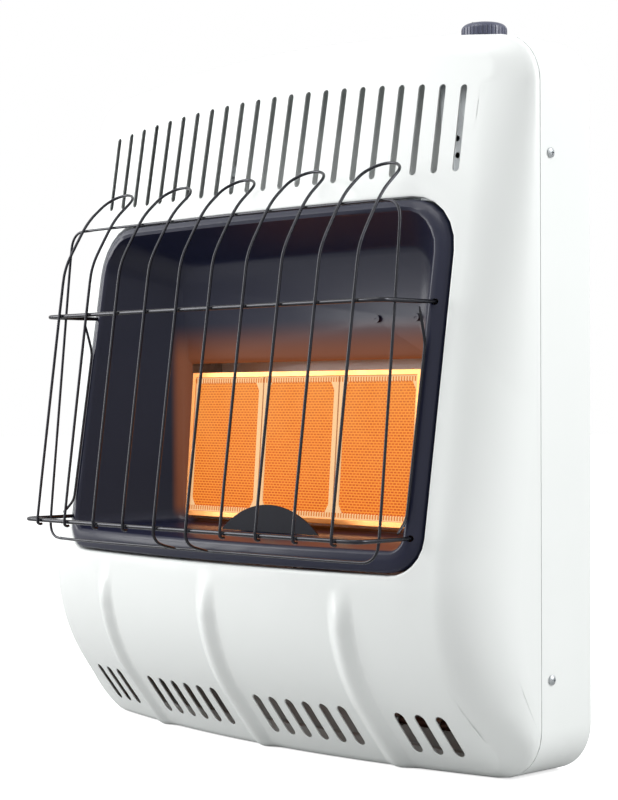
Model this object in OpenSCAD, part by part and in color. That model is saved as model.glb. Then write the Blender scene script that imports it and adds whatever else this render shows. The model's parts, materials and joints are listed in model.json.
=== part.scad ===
// Vent-free gas wall heater with three radiant plaques behind a wire guard.
// X runs to the right, Y back to the wall, Z up.
// The origin is the middle of the casing's flat underside.

/* [Casing] */
// Width over the side walls
case_w = 556; // [540:1:600]
// Height at the crown of the arched top
case_h = 610; // [600:1:640]
// Depth from the wall face to the seam with the front cover
case_d = 62; // [60:1:80]
// Radius of the arched top edge
arch_r = 1890; // [1600:10:2600]
// Corner radius seen from the front
corner_r = 42; // [36:1:48]
// Thickness of the painted sheet
sheet_t = 1.2; // [0.8:0.1:1.5]
// Depth of the recess pressed into the back
recess_d = 4; // [3.5:0.5:6]
// Width of the flat rim around the recess
rim_w = 12; // [8:1:16]
// Height of the upstanding lip behind the seam at the base
base_lip_h = 14; // [8:1:16]

/* [Front cover] */
// Depth of the cover at the crown of its top
cover_top_d = 29; // [24:1:34]
// Lean of the front face, in degrees
lean_deg = 10.1; // [8:0.1:12]
// Height at which the nose starts to turn under
nose_z = 170; // [164:1:180]
// Radius of the nose seen from the side
nose_r = 152; // [130:1:170]
// Slope of the face below the nose, in degrees
tuck_deg = 38; // [34:1:40]
// How far the face falls back at the sides, at the top
bow_top = 20; // [16:1:24]
// How far the face falls back at the sides, at the base
bow_base = 41; // [34:1:42]
// Width of the rounded shoulder at the sides
shoulder_w = 42; // [34:1:48]
// Depth of the rounded shoulder at the sides
shoulder_d = 46; // [38:1:52]
// Width of the rounding along the top
brow_w = 20; // [14:1:26]
// Rounding along the base edge
foot_r = 6; // [4:0.5:8]
// Gap that shows as the seam
seam_gap = 0.8; // [0.4:0.1:1.2]
// Width of the return flange at the seam
return_w = 14; // [10:1:18]
// Rounding of the edge of the firebox mouth
lip_r = 3; // [2:0.5:4]
// Depth of the turned-in edge of the firebox mouth
lip_d = 12; // [8:1:14]

/* [Firebox mouth] */
// Width of the cover at each side of the opening
mouth_side = 52.6; // [50:0.2:56]
// Height of the opening
mouth_h = 301.8; // [296:0.2:308]
// Height of the cover over the opening, at its crown
mouth_head = 143.6; // [140:0.2:150]
// Radius of its upper corners
mouth_top_r = 46; // [40:1:52]
// Radius of its lower corners
mouth_base_r = 30; // [26:1:36]

/* [Louvres] */
// Width of the slots in the top row
slot_w = 6.4; // [4:0.2:8]
// Width of the slots in the bottom row
low_slot_w = 9.4; // [7:0.2:11]
// Distance of the end slots of the top row from the side of the casing
top_side = 57.5; // [55:0.5:70]
// Number of slots in the top row
top_count = 22; // [10:2:22]
// Height of the top row over the mouth
top_slot_up = 17.6; // [14:0.2:24]
// Distance of the upper ends of the top row from the arched top
top_slot_drop = 42.6; // [36:0.2:60]
// Distance of the end slots of a group in the bottom row from the nearest rib
low_margin = 28.3; // [24:0.1:34]
// Height of the lower end of the bottom row
low_slot_z = 17.3; // [15:0.1:20]
// Height of the bottom row
low_slot_h = 35.1; // [25:0.1:45]

/* [Pressed ribs] */
// Distance of the outer ribs from the side of the casing
rib_side = 126.4; // [120:0.2:132]
// Half the width of a rib
rib_half = 14; // [8:1:15]
// Height of a rib over the face
rib_h = 6; // [3:0.5:8]
// Distance under the mouth at which the ribs fade out
rib_top_drop = 6.6; // [4:0.2:14]
// Distance under the mouth at which the ribs reach their full height
rib_full_drop = 46.6; // [34:0.2:60]

/* [Firebox] */
// Gap between the pan and the edge of the cover
pan_gap = 2; // [1.5:0.1:3]
// Thickness of the enamelled pan
pan_t = 1; // [0.8:0.1:1.2]
// Width of the flange of the pan at the sides
flange_w = 14.4; // [12:0.2:18]
// Height of the flange of the pan at the base
flange_base_h = 17.9; // [16:0.1:19]
// Height of the flange of the pan at the top
flange_top_h = 9.8; // [8:0.1:12]
// How far the inner edge of the flange stands out of the face
flange_rise = 4.5; // [2:0.1:6]
// How far each side wall closes in towards the back
wall_taper = 46; // [40:1:50]
// Height of the floor at the back wall over the lower edge of the mouth
floor_up = 24.4; // [23:0.2:26]
// Distance of the hood at the back wall under the upper edge of the mouth
hood_drop = 35.4; // [30:0.2:46]
// Distance of the back wall behind the seam
back_wall_d = 2; // [1:0.5:3]

/* [Burner] */
// Sideways place of the burner
burner_x = 2; // [0:0.5:3]
// Height of the plaques over the floor at the back wall
burner_up = 7.2; // [6:0.1:9]
// Distance of the middle of the plaques in front of the seam
plaque_d = 2.3; // [1:0.1:4]
// Backward lean of the plaques, in degrees
plaque_lean = 4.5; // [3:0.1:5]
// Width of the back wall at each side of the plaques
wall_side = 17.7; // [16:0.1:20]
// Height of one plaque
tile_h = 131; // [128:0.5:132]
// Thickness of one plaque
tile_t = 13; // [11:0.5:14]
// Thickness of the fibre seal between plaques
seal_t = 1.6; // [1:0.1:2]
// Thickness of the sheet of the burner
burner_t = 1.2; // [0.8:0.1:1.5]
// Depth of the gas chamber behind the plaques
chamber_d = 28; // [24:1:30]
// Outer radius of the mixing tube
mixer_r = 12; // [10:0.5:12.5]

/* [Controls] */
// Distance of the knob from the side of the casing
knob_side = 85; // [80:1:90]
// Radius of the knob
knob_r = 19; // [16:0.5:20]
// Height of the knob
knob_h = 11.3; // [9:0.1:16]
// Number of grooves round the knob
knob_grooves = 34; // [12:1:40]
// Push travel of the knob
push_travel = 3.5; // [2:0.1:4]
// Radius of the valve stem
stem_r = 4; // [3:0.1:4.5]
// Width of the valve body
valve_w = 46; // [42:1:50]
// Depth of the valve body
valve_d = 40; // [36:1:42]
// Height of the valve body
valve_h = 45; // [42:1:52]

/* [Gas supply] */
// Outer radius of the gas tubes
tube_r = 4; // [3:0.1:5]
// Thread radius of the gas inlet
inlet_r = 8.6; // [6:0.1:9]
// Thread length of the gas inlet
inlet_l = 14; // [10:1:16]

/* [Wire guard] */
// Wire radius of the hairpins
wire_r = 1.4; // [1.2:0.1:1.8]
// Wire radius of the two cross bars
bar_r = 2; // [1.6:0.1:2.2]
// Distance of the outermost legs from the corners of the cross bars
bar_reach = 25; // [20:0.5:30]
// Half the gap between the two legs of a hairpin
hairpin_half = 21; // [17:0.5:22]
// Height of the tips of the hairpins over the mouth
tip_up = 27.1; // [20:0.1:32]
// Distance of the tips from the seam
tip_reach = 61.5; // [58:0.5:66]
// Distance of the upper cross bar under the upper edge of the mouth
upper_bar_drop = 86.4; // [80:0.2:92]
// Height of the lower cross bar over the lower edge of the mouth
lower_bar_up = 29.9; // [28:0.1:32]
// Distance of the legs from the seam at the upper bar
upper_reach = 123.6; // [118:0.2:128]
// Distance of the legs from the seam at their lower bend
lower_reach = 146.6; // [140:0.2:150]
// How far the corners of the cross bars stand inside their holes
bar_in = 1.2; // [0:0.1:2.5]

/* [Wall mounting] */
// Spacing of the wall screws
stud_pitch = 406.4; // [380:0.1:406.4]
// Radius of the wall screw holes
stud_hole_r = 3; // [2:0.1:3.5]
// Distance of the wall bracket's screws under the crown of the top
bracket_drop = 80; // [75:1:90]
// Height of the lower wall screws
low_screw_z = 100; // [90:1:110]

/* [Fits] */
// Clearance between pieces that are set against each other
seat = 0.3; // [0.2:0.05:0.4]
// Clearance of a shaft in its bore
fit = 0.06; // [0.03:0.01:0.1]

/* [Hidden] */
$fn = 48;
// Overrun of every cut past the face it opens
overrun = 1;
fine_fn = 720;

// Places that follow from the casing and the firebox mouth
half_w = case_w / 2;
mouth_half = half_w - mouth_side;
mouth_top = case_h - mouth_head;
mouth_base = mouth_top - mouth_h;
flange_half = mouth_half - pan_gap;
throat_half = flange_half - flange_w;
back_half = throat_half - wall_taper;
floor_z = mouth_base + floor_up;
hood_z = mouth_top - hood_drop;
tile_w = (2 * (back_half - wall_side) - 2 * seal_t) / 3;
burner_z = floor_z + burner_up + tile_h / 2;
rib_pitch = half_w - rib_side;
knob_x = half_w - knob_side;
bracket_z = case_h - bracket_drop;

// Casing outline
seam_y = -case_d / 2;
rear_y = case_d / 2;
cover_y = seam_y - seam_gap;
panel_y = rear_y - recess_d - sheet_t;
arch_z = case_h - arch_r;
corner_x = half_w - corner_r;
corner_z = arch_z + sqrt(pow(arch_r - corner_r, 2) - corner_x * corner_x);
tilt = asin(corner_x / (arch_r - corner_r));

// Side profile of the cover: a leaning face, a round nose, and a slope tucked under it
rib_top_z = mouth_base - rib_top_drop;
rib_full_z = mouth_base - rib_full_drop;
crown_y = seam_y - cover_top_d;
nose_y = crown_y - (case_h - nose_z) * tan(lean_deg);
nose_arc_y = nose_y + nose_r * cos(lean_deg);
nose_arc_z = nose_z - nose_r * sin(lean_deg);
tuck_z = nose_arc_z - nose_r * sin(tuck_deg);
tuck_y = nose_arc_y - nose_r * cos(tuck_deg);
rib_marks = [-1, 0, 1];

function lerp(a, b, t) = a + (b - a) * t;
function ease(t) = let (u = max(0, min(1, t))) u * u * (3 - 2 * u);
function profile(z) = z > nose_z ? crown_y - (case_h - z) * tan(lean_deg)
    : z > tuck_z ? nose_arc_y - sqrt(pow(nose_r, 2) - pow(z - nose_arc_z, 2))
    : tuck_y + (tuck_z - z) * tan(tuck_deg);
function bow(x, z) = lerp(bow_base, bow_top, z / case_h) * pow(x / half_w, 2);
function crest(d) = d < rib_half ? (1 + cos(180 * d / rib_half)) / 2 : 0;
function rib(x, z) = rib_h * ease((rib_top_z - z) / (rib_top_z - rib_full_z))
    * max([for (k = rib_marks) crest(abs(x - k * rib_pitch))]);
function face_y(x, z) = profile(z) + bow(x, z) - rib(x, z);
function arch_top(x) = arch_z + sqrt(arch_r * arch_r - x * x);

// Stations along the base: close together over each rib, with a few between them
rib_shares = [-1, -0.64, -0.32, 0, 0.32, 0.64, 1];
base_x = [for (k = rib_marks) each concat(
    [for (s = rib_shares) k * rib_pitch + s * rib_half],
    k < 1 ? [for (j = [1:3]) k * rib_pitch + rib_half + j / 4 * (rib_pitch - 2 * rib_half)] : [])];
inner_half = rib_pitch + rib_half;
end_n = 3;
side_n = 10;
top_n = 16;
arc_n = 6;
blend_n = 6;
mid_n = 9;

// A ring of stations round a rounded outline, each [x, z, outward x, outward z]
function arc_stations(cx, cz, r, a, b) = [for (j = [0:arc_n])
    let (t = lerp(a, b, j / arc_n)) [cx + r * cos(t), cz + r * sin(t), cos(t), sin(t)]];
function base_stations(half, z) = concat(
    [for (j = [0:end_n - 1]) [-lerp(half, inner_half, (j + 1) / (end_n + 1)), z, 0, -1]],
    [for (x = base_x) [x, z, 0, -1]],
    [for (j = [1:end_n]) [lerp(inner_half, half, j / (end_n + 1)), z, 0, -1]]);
function side_stations(x, a, b) = [for (j = [1:side_n - 1])
    [x, lerp(a, b, j / side_n), sign(x), 0]];
function case_stations(i) = let (r = corner_r - i) concat(
    base_stations(corner_x, i),
    arc_stations(corner_x, corner_r, r, -90, 0),
    side_stations(half_w - i, corner_r, corner_z),
    arc_stations(corner_x, corner_z, r, 0, 90 - tilt),
    [for (j = [1:top_n - 1]) let (t = lerp(tilt, -tilt, j / top_n))
        [(arch_r - i) * sin(t), arch_z + (arch_r - i) * cos(t), sin(t), cos(t)]],
    arc_stations(-corner_x, corner_z, r, 90 + tilt, 180),
    side_stations(i - half_w, corner_z, corner_r),
    arc_stations(-corner_x, corner_r, r, 180, 270));
function mouth_stations(o) = let (
    low_x = mouth_half - mouth_base_r,
    top_x = mouth_half - mouth_top_r,
    low = mouth_base + mouth_base_r,
    high = mouth_top - mouth_top_r) concat(
    base_stations(low_x, mouth_base - o),
    arc_stations(low_x, low, mouth_base_r + o, -90, 0),
    side_stations(mouth_half + o, low, high),
    arc_stations(top_x, high, mouth_top_r + o, 0, 90),
    [for (j = [1:top_n - 1]) [lerp(top_x, -top_x, j / top_n), mouth_top + o, 0, 1]],
    arc_stations(-top_x, high, mouth_top_r + o, 90, 180),
    side_stations(-mouth_half - o, high, low),
    arc_stations(-low_x, low, mouth_base_r + o, 180, 270));

// Width and depth of the rounding between the edge and the face, which follow the edge's direction
function blend_w(p) = shoulder_w * p[2] * p[2] + (p[3] > 0 ? brow_w : foot_r) * p[3] * p[3];
function blend_d(p) = shoulder_d * p[2] * p[2] + (p[3] > 0 ? brow_w : foot_r) * p[3] * p[3];
outline = case_stations(0);
mouth_lip = mouth_stations(lip_r);
wall_share = 0.9;
function edge_ring(i, y) = [for (p = outline) [p[0] - p[2] * i, y, p[1] - p[3] * i]];
function blend_point(p, i, a) = let (
    s = i + (blend_w(p) - i) * (1 - cos(a)),
    x = p[0] - p[2] * s,
    z = p[1] - p[3] * s,
    room = wall_share * (cover_y - sheet_t - face_y(x, z)),
    d = min(blend_d(p), room) - i)
    [x, face_y(x, z) + i + d * (1 - sin(a)), z];
function mid_point(k, i, t) = let (
    p = outline[k],
    x = lerp(p[0] - p[2] * blend_w(p), mouth_lip[k][0], t),
    z = lerp(p[1] - p[3] * blend_w(p), mouth_lip[k][1], t))
    [x, face_y(x, z) + i, z];
function lip_ring(o, b) = [for (p = mouth_stations(o)) [p[0], face_y(p[0], p[1]) + b, p[1]]];
function cover_skin(i) = let (turn = (lip_r - i) * (1 - cos(45))) concat(
    [edge_ring(return_w, cover_y - i), edge_ring(i, cover_y - i)],
    [for (j = [0:blend_n]) [for (p = outline) blend_point(p, i, 90 * j / blend_n)]],
    [for (j = [1:mid_n]) [for (k = [0:len(outline) - 1]) mid_point(k, i, j / mid_n)]],
    [lip_ring(i + turn, i + turn), lip_ring(i, lip_r), lip_ring(i, lip_d)]);

// A closed tube of rings, each with the same number of points
function reversed(list) = [for (j = [len(list) - 1:-1:0]) list[j]];
module ring_loop(rings) {
    m = len(rings[0]);
    n = len(rings);
    polyhedron([for (r = rings) each r],
        [for (a = [0:n - 1], k = [0:m - 1]) let (b = (a + 1) % n, l = (k + 1) % m)
            each [[a * m + k, a * m + l, b * m + l], [a * m + k, b * m + l, b * m + k]]]);
}

// A wire or tube swept along a path, open or closed
function unit(v) = v / norm(v);
function path_tangent(p, j, closed) = let (n = len(p)) closed
    ? unit(p[(j + 1) % n] - p[(j + n - 1) % n])
    : unit(p[min(j + 1, n - 1)] - p[max(j - 1, 0)]);
function path_sides(p, closed) = [for (
    j = 0, t = path_tangent(p, 0, closed), u = unit(cross(t, abs(t[2]) < 0.9 ? [0, 0, 1] : [0, 1, 0]));
    j < len(p);
    j = j + 1,
    t = path_tangent(p, min(j, len(p) - 1), closed),
    u = unit(u - (u * t) * t)) [u, cross(t, u)]];
module wire(path, r, sides = 8, closed = false) {
    frames = path_sides(path, closed);
    n = len(path);
    rings = [for (j = [0:n - 1]) [for (k = [0:sides - 1]) let (a = 360 * k / sides)
        path[j] + r * (cos(a) * frames[j][0] + sin(a) * frames[j][1])]];
    skin = [for (j = [0:n - (closed ? 1 : 2)], k = [0:sides - 1])
        let (i = (j + 1) % n, l = (k + 1) % sides)
        each [[j * sides + k, i * sides + l, j * sides + l], [j * sides + k, i * sides + k, i * sides + l]]];
    caps = closed ? [] : [[for (k = [0:sides - 1]) k], [for (k = [sides - 1:-1:0]) (n - 1) * sides + k]];
    polyhedron([for (ring = rings) each ring], concat(skin, caps));
}

// The same corner points with each corner turned into a bend of tangent length c
bend_n = 4;
function bent(points, c) = concat([points[0]],
    [for (j = [1:len(points) - 2]) let (
        p = points[j],
        a = p + unit(points[j - 1] - p) * min(c, norm(points[j - 1] - p) * bend_share),
        b = p + unit(points[j + 1] - p) * min(c, norm(points[j + 1] - p) * bend_share))
        each [for (i = [0:bend_n]) let (t = i / bend_n)
            (1 - t) * (1 - t) * a + 2 * t * (1 - t) * p + t * t * b]],
    [points[len(points) - 1]]);
bend_share = 0.49;

// Plates and rods between two faces
module slab(y0, y1) {
    translate([0, y1, 0]) rotate([90, 0, 0]) linear_extrude(height = y1 - y0) children();
}
module block(low, high) {
    translate(low) cube(high - low);
}
module rod_x(x0, x1, y, z, r) {
    translate([x0, y, z]) rotate([0, 90, 0]) cylinder(r = r, h = x1 - x0);
}
module rod_y(x, y0, y1, z, r) {
    translate([x, y1, z]) rotate([90, 0, 0]) cylinder(r = r, h = y1 - y0);
}
module rod_z(x, y, z0, z1, r) {
    translate([x, y, z0]) cylinder(r = r, h = z1 - z0);
}
module both_sides() {
    children();
    mirror([1, 0, 0]) children();
}

// Casing
module case_outline(i) {
    translate([i - half_w, corner_r]) square([case_w - 2 * i, corner_z - corner_r]);
    translate([-corner_x, i]) square([2 * corner_x, corner_r]);
    for (s = [-1, 1], z = [corner_r, corner_z]) translate([s * corner_x, z]) circle(r = corner_r - i);
    intersection() {
        translate([0, arch_z]) circle(r = arch_r - i, $fn = fine_fn);
        translate([(i - arch_r) * sin(tilt), corner_r]) square([2 * (arch_r - i) * sin(tilt), case_h]);
    }
}
knob_y = 0;
knob_seat_z = arch_top(knob_x - knob_r);
knob_gap = 0.8;
hook_x = 150;
hook_w = 30;
hook_h = 10;
hook_t = 1.6;
hook_drop = 12;
hook_z = bracket_z - hook_drop;
side_screw_low = 80.9;
side_screw_drop = 112.3;
side_screw_z = [side_screw_low, case_h - side_screw_drop];
side_screw_back = 12;
side_screw_y = seam_y + side_screw_back;
side_screw_r = 2;
inlet_hole_r = 22;
supply_out = 10;
tube_gap = 14;
tube_out = 19;
port_l = 10;
regulator_half = [25, 18];
clip_half_h = 14;

module rear_casing() color("whitesmoke") difference() {
    union() {
        difference() {
            slab(seam_y, rear_y) case_outline(0);
            slab(seam_y - overrun, rear_y - sheet_t) case_outline(sheet_t);
        }
        slab(panel_y, rear_y) case_outline(rim_w);
        block([-corner_x, seam_y, 0], [corner_x, seam_y + sheet_t, base_lip_h]);
    }
    slab(panel_y + sheet_t, rear_y + overrun) case_outline(rim_w + sheet_t);
    rod_z(knob_x, knob_y, corner_z, case_h + overrun, knob_r + knob_gap);
    rod_z(inlet_x, 0, -overrun, base_lip_h, inlet_hole_r);
    both_sides() {
        block([hook_x - hook_w / 2 - overrun, panel_y - overrun, hook_z - hook_h],
            [hook_x + hook_w / 2 + overrun, rear_y, hook_z + hook_t + seat]);
        rod_y(stud_pitch / 2, panel_y - overrun, rear_y, low_screw_z, stud_hole_r);
        for (z = side_screw_z)
            rod_x(corner_x, half_w + overrun, side_screw_y, z, side_screw_r + seat);
    }
}

// Front cover
top_pitch = (case_w - 2 * top_side) / (top_count - 1);
group_count = 6;
low_pitch = (rib_pitch - 2 * low_margin) / (group_count - 1);
lower_columns = concat(
    [for (j = [0:group_count - 1]) low_margin + j * low_pitch],
    [for (j = [0:group_count / 2 - 1]) rib_pitch + low_margin + j * low_pitch]);
module slot(x, z0, z1, w) {
    r = w / 2;
    slab(nose_y - nose_r, seam_y - return_w) translate([x, 0]) {
        translate([-r, z0 + r]) square([w, z1 - z0 - w]);
        for (z = [z0 + r, z1 - r]) translate([0, z]) circle(r = r);
    }
}
module front_cover() color("white") difference() {
    ring_loop(concat(cover_skin(0), reversed(cover_skin(sheet_t))));
    for (k = [0:top_count - 1]) let (x = (k - (top_count - 1) / 2) * top_pitch)
        slot(x, mouth_top + top_slot_up, arch_top(x) - top_slot_drop, slot_w);
    both_sides() for (x = lower_columns) slot(x, low_slot_z, low_slot_z + low_slot_h, low_slot_w);
}

// Spot-welded clips that carry the cover's screws inside the casing
clip_x = half_w - sheet_t - seat;
clip_back_y = side_screw_y + 3 * side_screw_r;
module cover_clips() color("lightgray") both_sides() for (z = side_screw_z) difference() {
    union() {
        block([clip_x - sheet_t, cover_y, z - clip_half_h], [clip_x, clip_back_y, z + clip_half_h]);
        block([half_w - return_w, cover_y, z - clip_half_h],
            [clip_x, cover_y + sheet_t, z + clip_half_h]);
    }
    rod_x(clip_x - sheet_t - overrun, half_w, side_screw_y, z, side_screw_r + fit);
}
screw_head_r = 2 * side_screw_r;
screw_head_h = 1.2 * side_screw_r;
screw_l = 4 * side_screw_r;
drive_r = 0.45 * side_screw_r;
module screw() {
    difference() {
        union() {
            translate([0, 0, seat]) intersection() {
                cylinder(r = screw_head_r, h = screw_head_h);
                translate([0, 0, screw_head_h - 1.5 * screw_head_r]) sphere(r = 1.5 * screw_head_r);
            }
            translate([0, 0, -screw_l]) cylinder(r = side_screw_r, h = screw_l + 2 * seat);
        }
        for (a = [0, 90]) rotate(a)
            translate([-screw_head_r / 2, -drive_r / 2, screw_head_h / 2])
                cube([screw_head_r, drive_r, screw_head_h]);
    }
}
module side_screws() color("gainsboro") both_sides() for (z = side_screw_z)
    translate([half_w, side_screw_y, z]) rotate([0, 90, 0]) screw();

// Wall bracket, with two hooks that reach through the back panel
bracket_end = 12;
bracket_half = stud_pitch / 2 + bracket_end;
bracket_h = 44;
bracket_top = bracket_z + bracket_h / 2;
module wall_bracket() color("silver") difference() {
    union() {
        block([-bracket_half, rear_y - hook_t, bracket_z - bracket_h / 2],
            [bracket_half, rear_y, bracket_top]);
        both_sides() {
            block([hook_x - hook_w / 2, panel_y - seat - hook_t, hook_z],
                [hook_x + hook_w / 2, rear_y, hook_z + hook_t]);
            block([hook_x - hook_w / 2, panel_y - seat - hook_t, hook_z],
                [hook_x + hook_w / 2, panel_y - seat, hook_z + hook_h]);
        }
    }
    both_sides() rod_y(stud_pitch / 2, rear_y - hook_t - overrun, rear_y + overrun, bracket_z, stud_hole_r);
}

// Two posts that join the back panel, the burner and the firebox pan
wall_y = seam_y + back_wall_d;
post_gap = 3;
post_x = back_half + post_gap;
post_below = 140;
post_base = burner_z - post_below;
deflector_drop = 6;
deflector_z = mouth_top - deflector_drop;
post_top = deflector_z - seat;
post_front_y = wall_y + pan_t + seat;
post_back_y = panel_y - seat;
post_flange_w = 8;
post_foot_w = 15;
mixer_back = 2;
mixer_up = 29.5;
mixer_local = [chamber_d / 2 + tile_t + mixer_back, mixer_up - tile_h / 2];
function tilted_y(p) = seam_y - plaque_d + p[0] * cos(plaque_lean) + p[1] * sin(plaque_lean);
function tilted_z(p) = burner_z - p[0] * sin(plaque_lean) + p[1] * cos(plaque_lean);
mixer_y = tilted_y(mixer_local);
mixer_z = tilted_z(mixer_local);
module chassis_posts() color("silver") difference() {
    both_sides() {
        block([post_x, post_front_y, post_base], [post_x + sheet_t, post_back_y, post_top]);
        block([post_x - post_flange_w, post_front_y, post_base],
            [post_x + sheet_t, post_front_y + sheet_t, post_top]);
        block([post_x, post_back_y - sheet_t, post_base],
            [post_x + post_foot_w, post_back_y, post_top]);
    }
    rod_x(post_x - overrun, post_x + post_foot_w, mixer_y, mixer_z, mixer_r + overrun);
}

// Firebox pan: a flange inside the mouth, walls that close in, and a back wall with a window
pan_n = 10;
pan_side_n = 6;
function box_stations(half, z0, z1, base_r, top_r) = let (
    low_x = half - base_r, top_x = half - top_r, low = z0 + base_r, high = z1 - top_r) concat(
    [for (j = [1:pan_n - 1]) [lerp(-low_x, low_x, j / pan_n), z0]],
    arc_stations(low_x, low, base_r, -90, 0),
    [for (j = [1:pan_side_n - 1]) [half, lerp(low, high, j / pan_side_n)]],
    arc_stations(top_x, high, top_r, 0, 90),
    [for (j = [1:pan_n - 1]) [lerp(top_x, -top_x, j / pan_n), z1]],
    arc_stations(-top_x, high, top_r, 90, 180),
    [for (j = [1:pan_side_n - 1]) [-half, lerp(high, low, j / pan_side_n)]],
    arc_stations(-low_x, low, base_r, 180, 270));
window_side = 8;
window_half = tile_w * 1.5 + window_side;
window_sill = 2.5;
window_base = floor_z + window_sill;
window_head = 10;
window_top = burner_z + tile_h / 2 + window_head;
window_r = 2;
window_fold = 5;
flange_edge = 1;
edge_r = 2.5;
crease_r = 4;
skirt_d = 14;
throat_base = mouth_base + pan_gap + flange_base_h;
throat_top = mouth_top - pan_gap - flange_top_h;
throat_base_r = 12;
throat_top_r = 34;
bay_base_r = 12;
bay_top_r = 25;
fillet_r = 2.5;
low_share = 0.3;
turn = 1 - cos(45);
function on_face(list, b) = [for (p = list) [p[0], face_y(p[0], p[1]) + b, p[1]]];
function on_plane(list, y) = [for (p = list) [p[0], y, p[1]]];
function flange_box(i) = box_stations(flange_half - i, mouth_base + pan_gap + i,
    mouth_top - pan_gap - i, mouth_base_r - pan_gap - i, mouth_top_r - pan_gap - i);
function throat_box(i) = box_stations(throat_half - i, throat_base + i, throat_top - i,
    throat_base_r - i, throat_top_r - i);
function back_box(i) = box_stations(back_half - i, floor_z + low_share * i, hood_z - i,
    bay_base_r, bay_top_r);
function window_box(i) = box_stations(window_half - i, window_base + low_share * i,
    window_top - i, window_r - min(i, 0), window_r - min(i, 0));
pan_rings = [
    on_face(flange_box(0), skirt_d),
    on_face(flange_box(0), edge_r - flange_edge),
    on_face(flange_box(edge_r * turn), edge_r * turn - flange_edge),
    on_face(flange_box(edge_r), -flange_edge),
    on_face(throat_box(-crease_r), -flange_rise),
    on_face(throat_box(-crease_r * turn), crease_r * turn - flange_rise),
    on_face(throat_box(0), crease_r - flange_rise),
    on_plane(back_box(-fillet_r), wall_y - 2 * fillet_r),
    on_plane(back_box(fillet_r), wall_y),
    on_plane(window_box(-window_fold), wall_y),
    on_plane(window_box(0), wall_y + window_fold),
    on_plane(window_box(-pan_t), wall_y + window_fold),
    on_plane(window_box(-window_fold - pan_t / 2), wall_y + pan_t),
    on_plane(back_box(fillet_r - pan_t / 2), wall_y + pan_t),
    on_plane(back_box(-fillet_r - pan_t), wall_y - 2 * fillet_r + pan_t / 2),
    on_face(throat_box(-pan_t), crease_r - flange_rise + pan_t / 2),
    on_face(throat_box(-crease_r * turn - pan_t * (1 - turn)), (crease_r - pan_t) * turn - flange_rise + pan_t),
    on_face(throat_box(-crease_r), pan_t - flange_rise),
    on_face(flange_box(edge_r), pan_t - flange_edge),
    on_face(flange_box(edge_r * turn + pan_t * (1 - turn)), edge_r * turn - flange_edge + pan_t * (1 - turn)),
    on_face(flange_box(pan_t), edge_r - flange_edge),
    on_face(flange_box(pan_t), skirt_d)];
// Height of the sloping floor at a distance y from the wall plane
floor_front = [throat_base, face_y(0, throat_base) + crease_r - flange_rise];
floor_back = [floor_z - low_share * fillet_r, wall_y - 2 * fillet_r];
function floor_at(y) = let (t = (y - floor_front[1]) / (floor_back[1] - floor_front[1]))
    lerp(floor_front[0], floor_back[0], t);
lead_hole_x = 20;
lead_hole_front = 25;
lead_hole = [lead_hole_x, seam_y - lead_hole_front];
lead_hole_r = 7;
pan_screw_r = 2;
pan_screw_l = 6.8;
pan_screw_up = 34.6;
pan_screw_z = window_top + pan_screw_up;
pan_screw_in = [65, 19];
pan_screw_x = [for (d = pan_screw_in) back_half - d];
module firebox_pan() color([0.15, 0.16, 0.24]) difference() {
    ring_loop(pan_rings);
    rod_z(lead_hole[0], lead_hole[1], throat_base - 3 * overrun, floor_z + 3 * overrun, lead_hole_r);
    both_sides() guard_holes();
    for (x = pan_screw_x) rod_y(x, wall_y - pan_t, wall_y + 2 * pan_t, pan_screw_z, pan_screw_r + fit);
}
module pan_screws() color("dimgray") for (x = pan_screw_x)
    translate([x, wall_y, pan_screw_z]) rotate([90, 0, 0]) difference() {
        union() {
            translate([0, 0, seat]) cylinder(r = 1.6 * pan_screw_r, h = pan_screw_r);
            translate([0, 0, -pan_screw_l]) cylinder(r = pan_screw_r, h = pan_screw_l + 2 * seat);
        }
        translate([-pan_screw_r, -drive_r / 2, pan_screw_r]) cube([2 * pan_screw_r, drive_r, pan_screw_r]);
    }

// Rail between the posts that carries the back wall
rail_h = 22;
rail_depth = 10;
rail_half = post_x - post_flange_w - seat;
module back_rail() color("silver") difference() {
    union() {
        block([-rail_half, post_front_y, pan_screw_z - rail_h / 2],
            [rail_half, post_front_y + sheet_t, pan_screw_z + rail_h / 2]);
        for (z = [pan_screw_z - rail_h / 2, pan_screw_z + rail_h / 2 - sheet_t])
            block([-rail_half, post_front_y, z], [rail_half, post_front_y + rail_depth, z + sheet_t]);
    }
    for (x = pan_screw_x)
        rod_y(x, post_front_y - overrun, post_front_y + sheet_t + overrun, pan_screw_z, pan_screw_r + fit);
}

// Sheet over the firebox that turns the hot air forward to the top slots
deflector_wing = 60;
deflector_half = back_half + deflector_wing;
deflector_clear = 6;
deflector_right = knob_x - valve_w / 2 - deflector_clear;
deflector_lip = 18;
module heat_deflector() color("silver") {
    block([-deflector_half, wall_y - deflector_lip, deflector_z],
        [deflector_right, post_back_y, deflector_z + sheet_t]);
    block([-deflector_half, post_back_y - sheet_t, deflector_z],
        [deflector_right, post_back_y, deflector_z + deflector_lip]);
    block([-deflector_half, wall_y - deflector_lip, deflector_z],
        [deflector_right, wall_y - deflector_lip + sheet_t, deflector_z + deflector_lip / 2]);
}

// Half-round shield that stands on the floor in front of the pilot
shield_x = 5;
shield_front = 40;
shield_y = seam_y - shield_front;
shield_up = 22.3;
shield_top = floor_z + shield_up;
shield_r = 92.5;
shield_half = 62;
shield_foot = 4.5;
shield_floor = floor_at(shield_y + shield_foot) + seat;
module pilot_shield() color([0.15, 0.16, 0.24]) {
    translate([shield_x, 0, 0]) slab(shield_y, shield_y + pan_t) intersection() {
        translate([0, shield_top - shield_r]) circle(r = shield_r);
        translate([-shield_half, shield_floor]) square([2 * shield_half, shield_r]);
    }
    block([shield_x - shield_half / 2, shield_y, shield_floor],
        [shield_x + shield_half / 2, shield_y + shield_foot, shield_floor + pan_t]);
}

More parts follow.
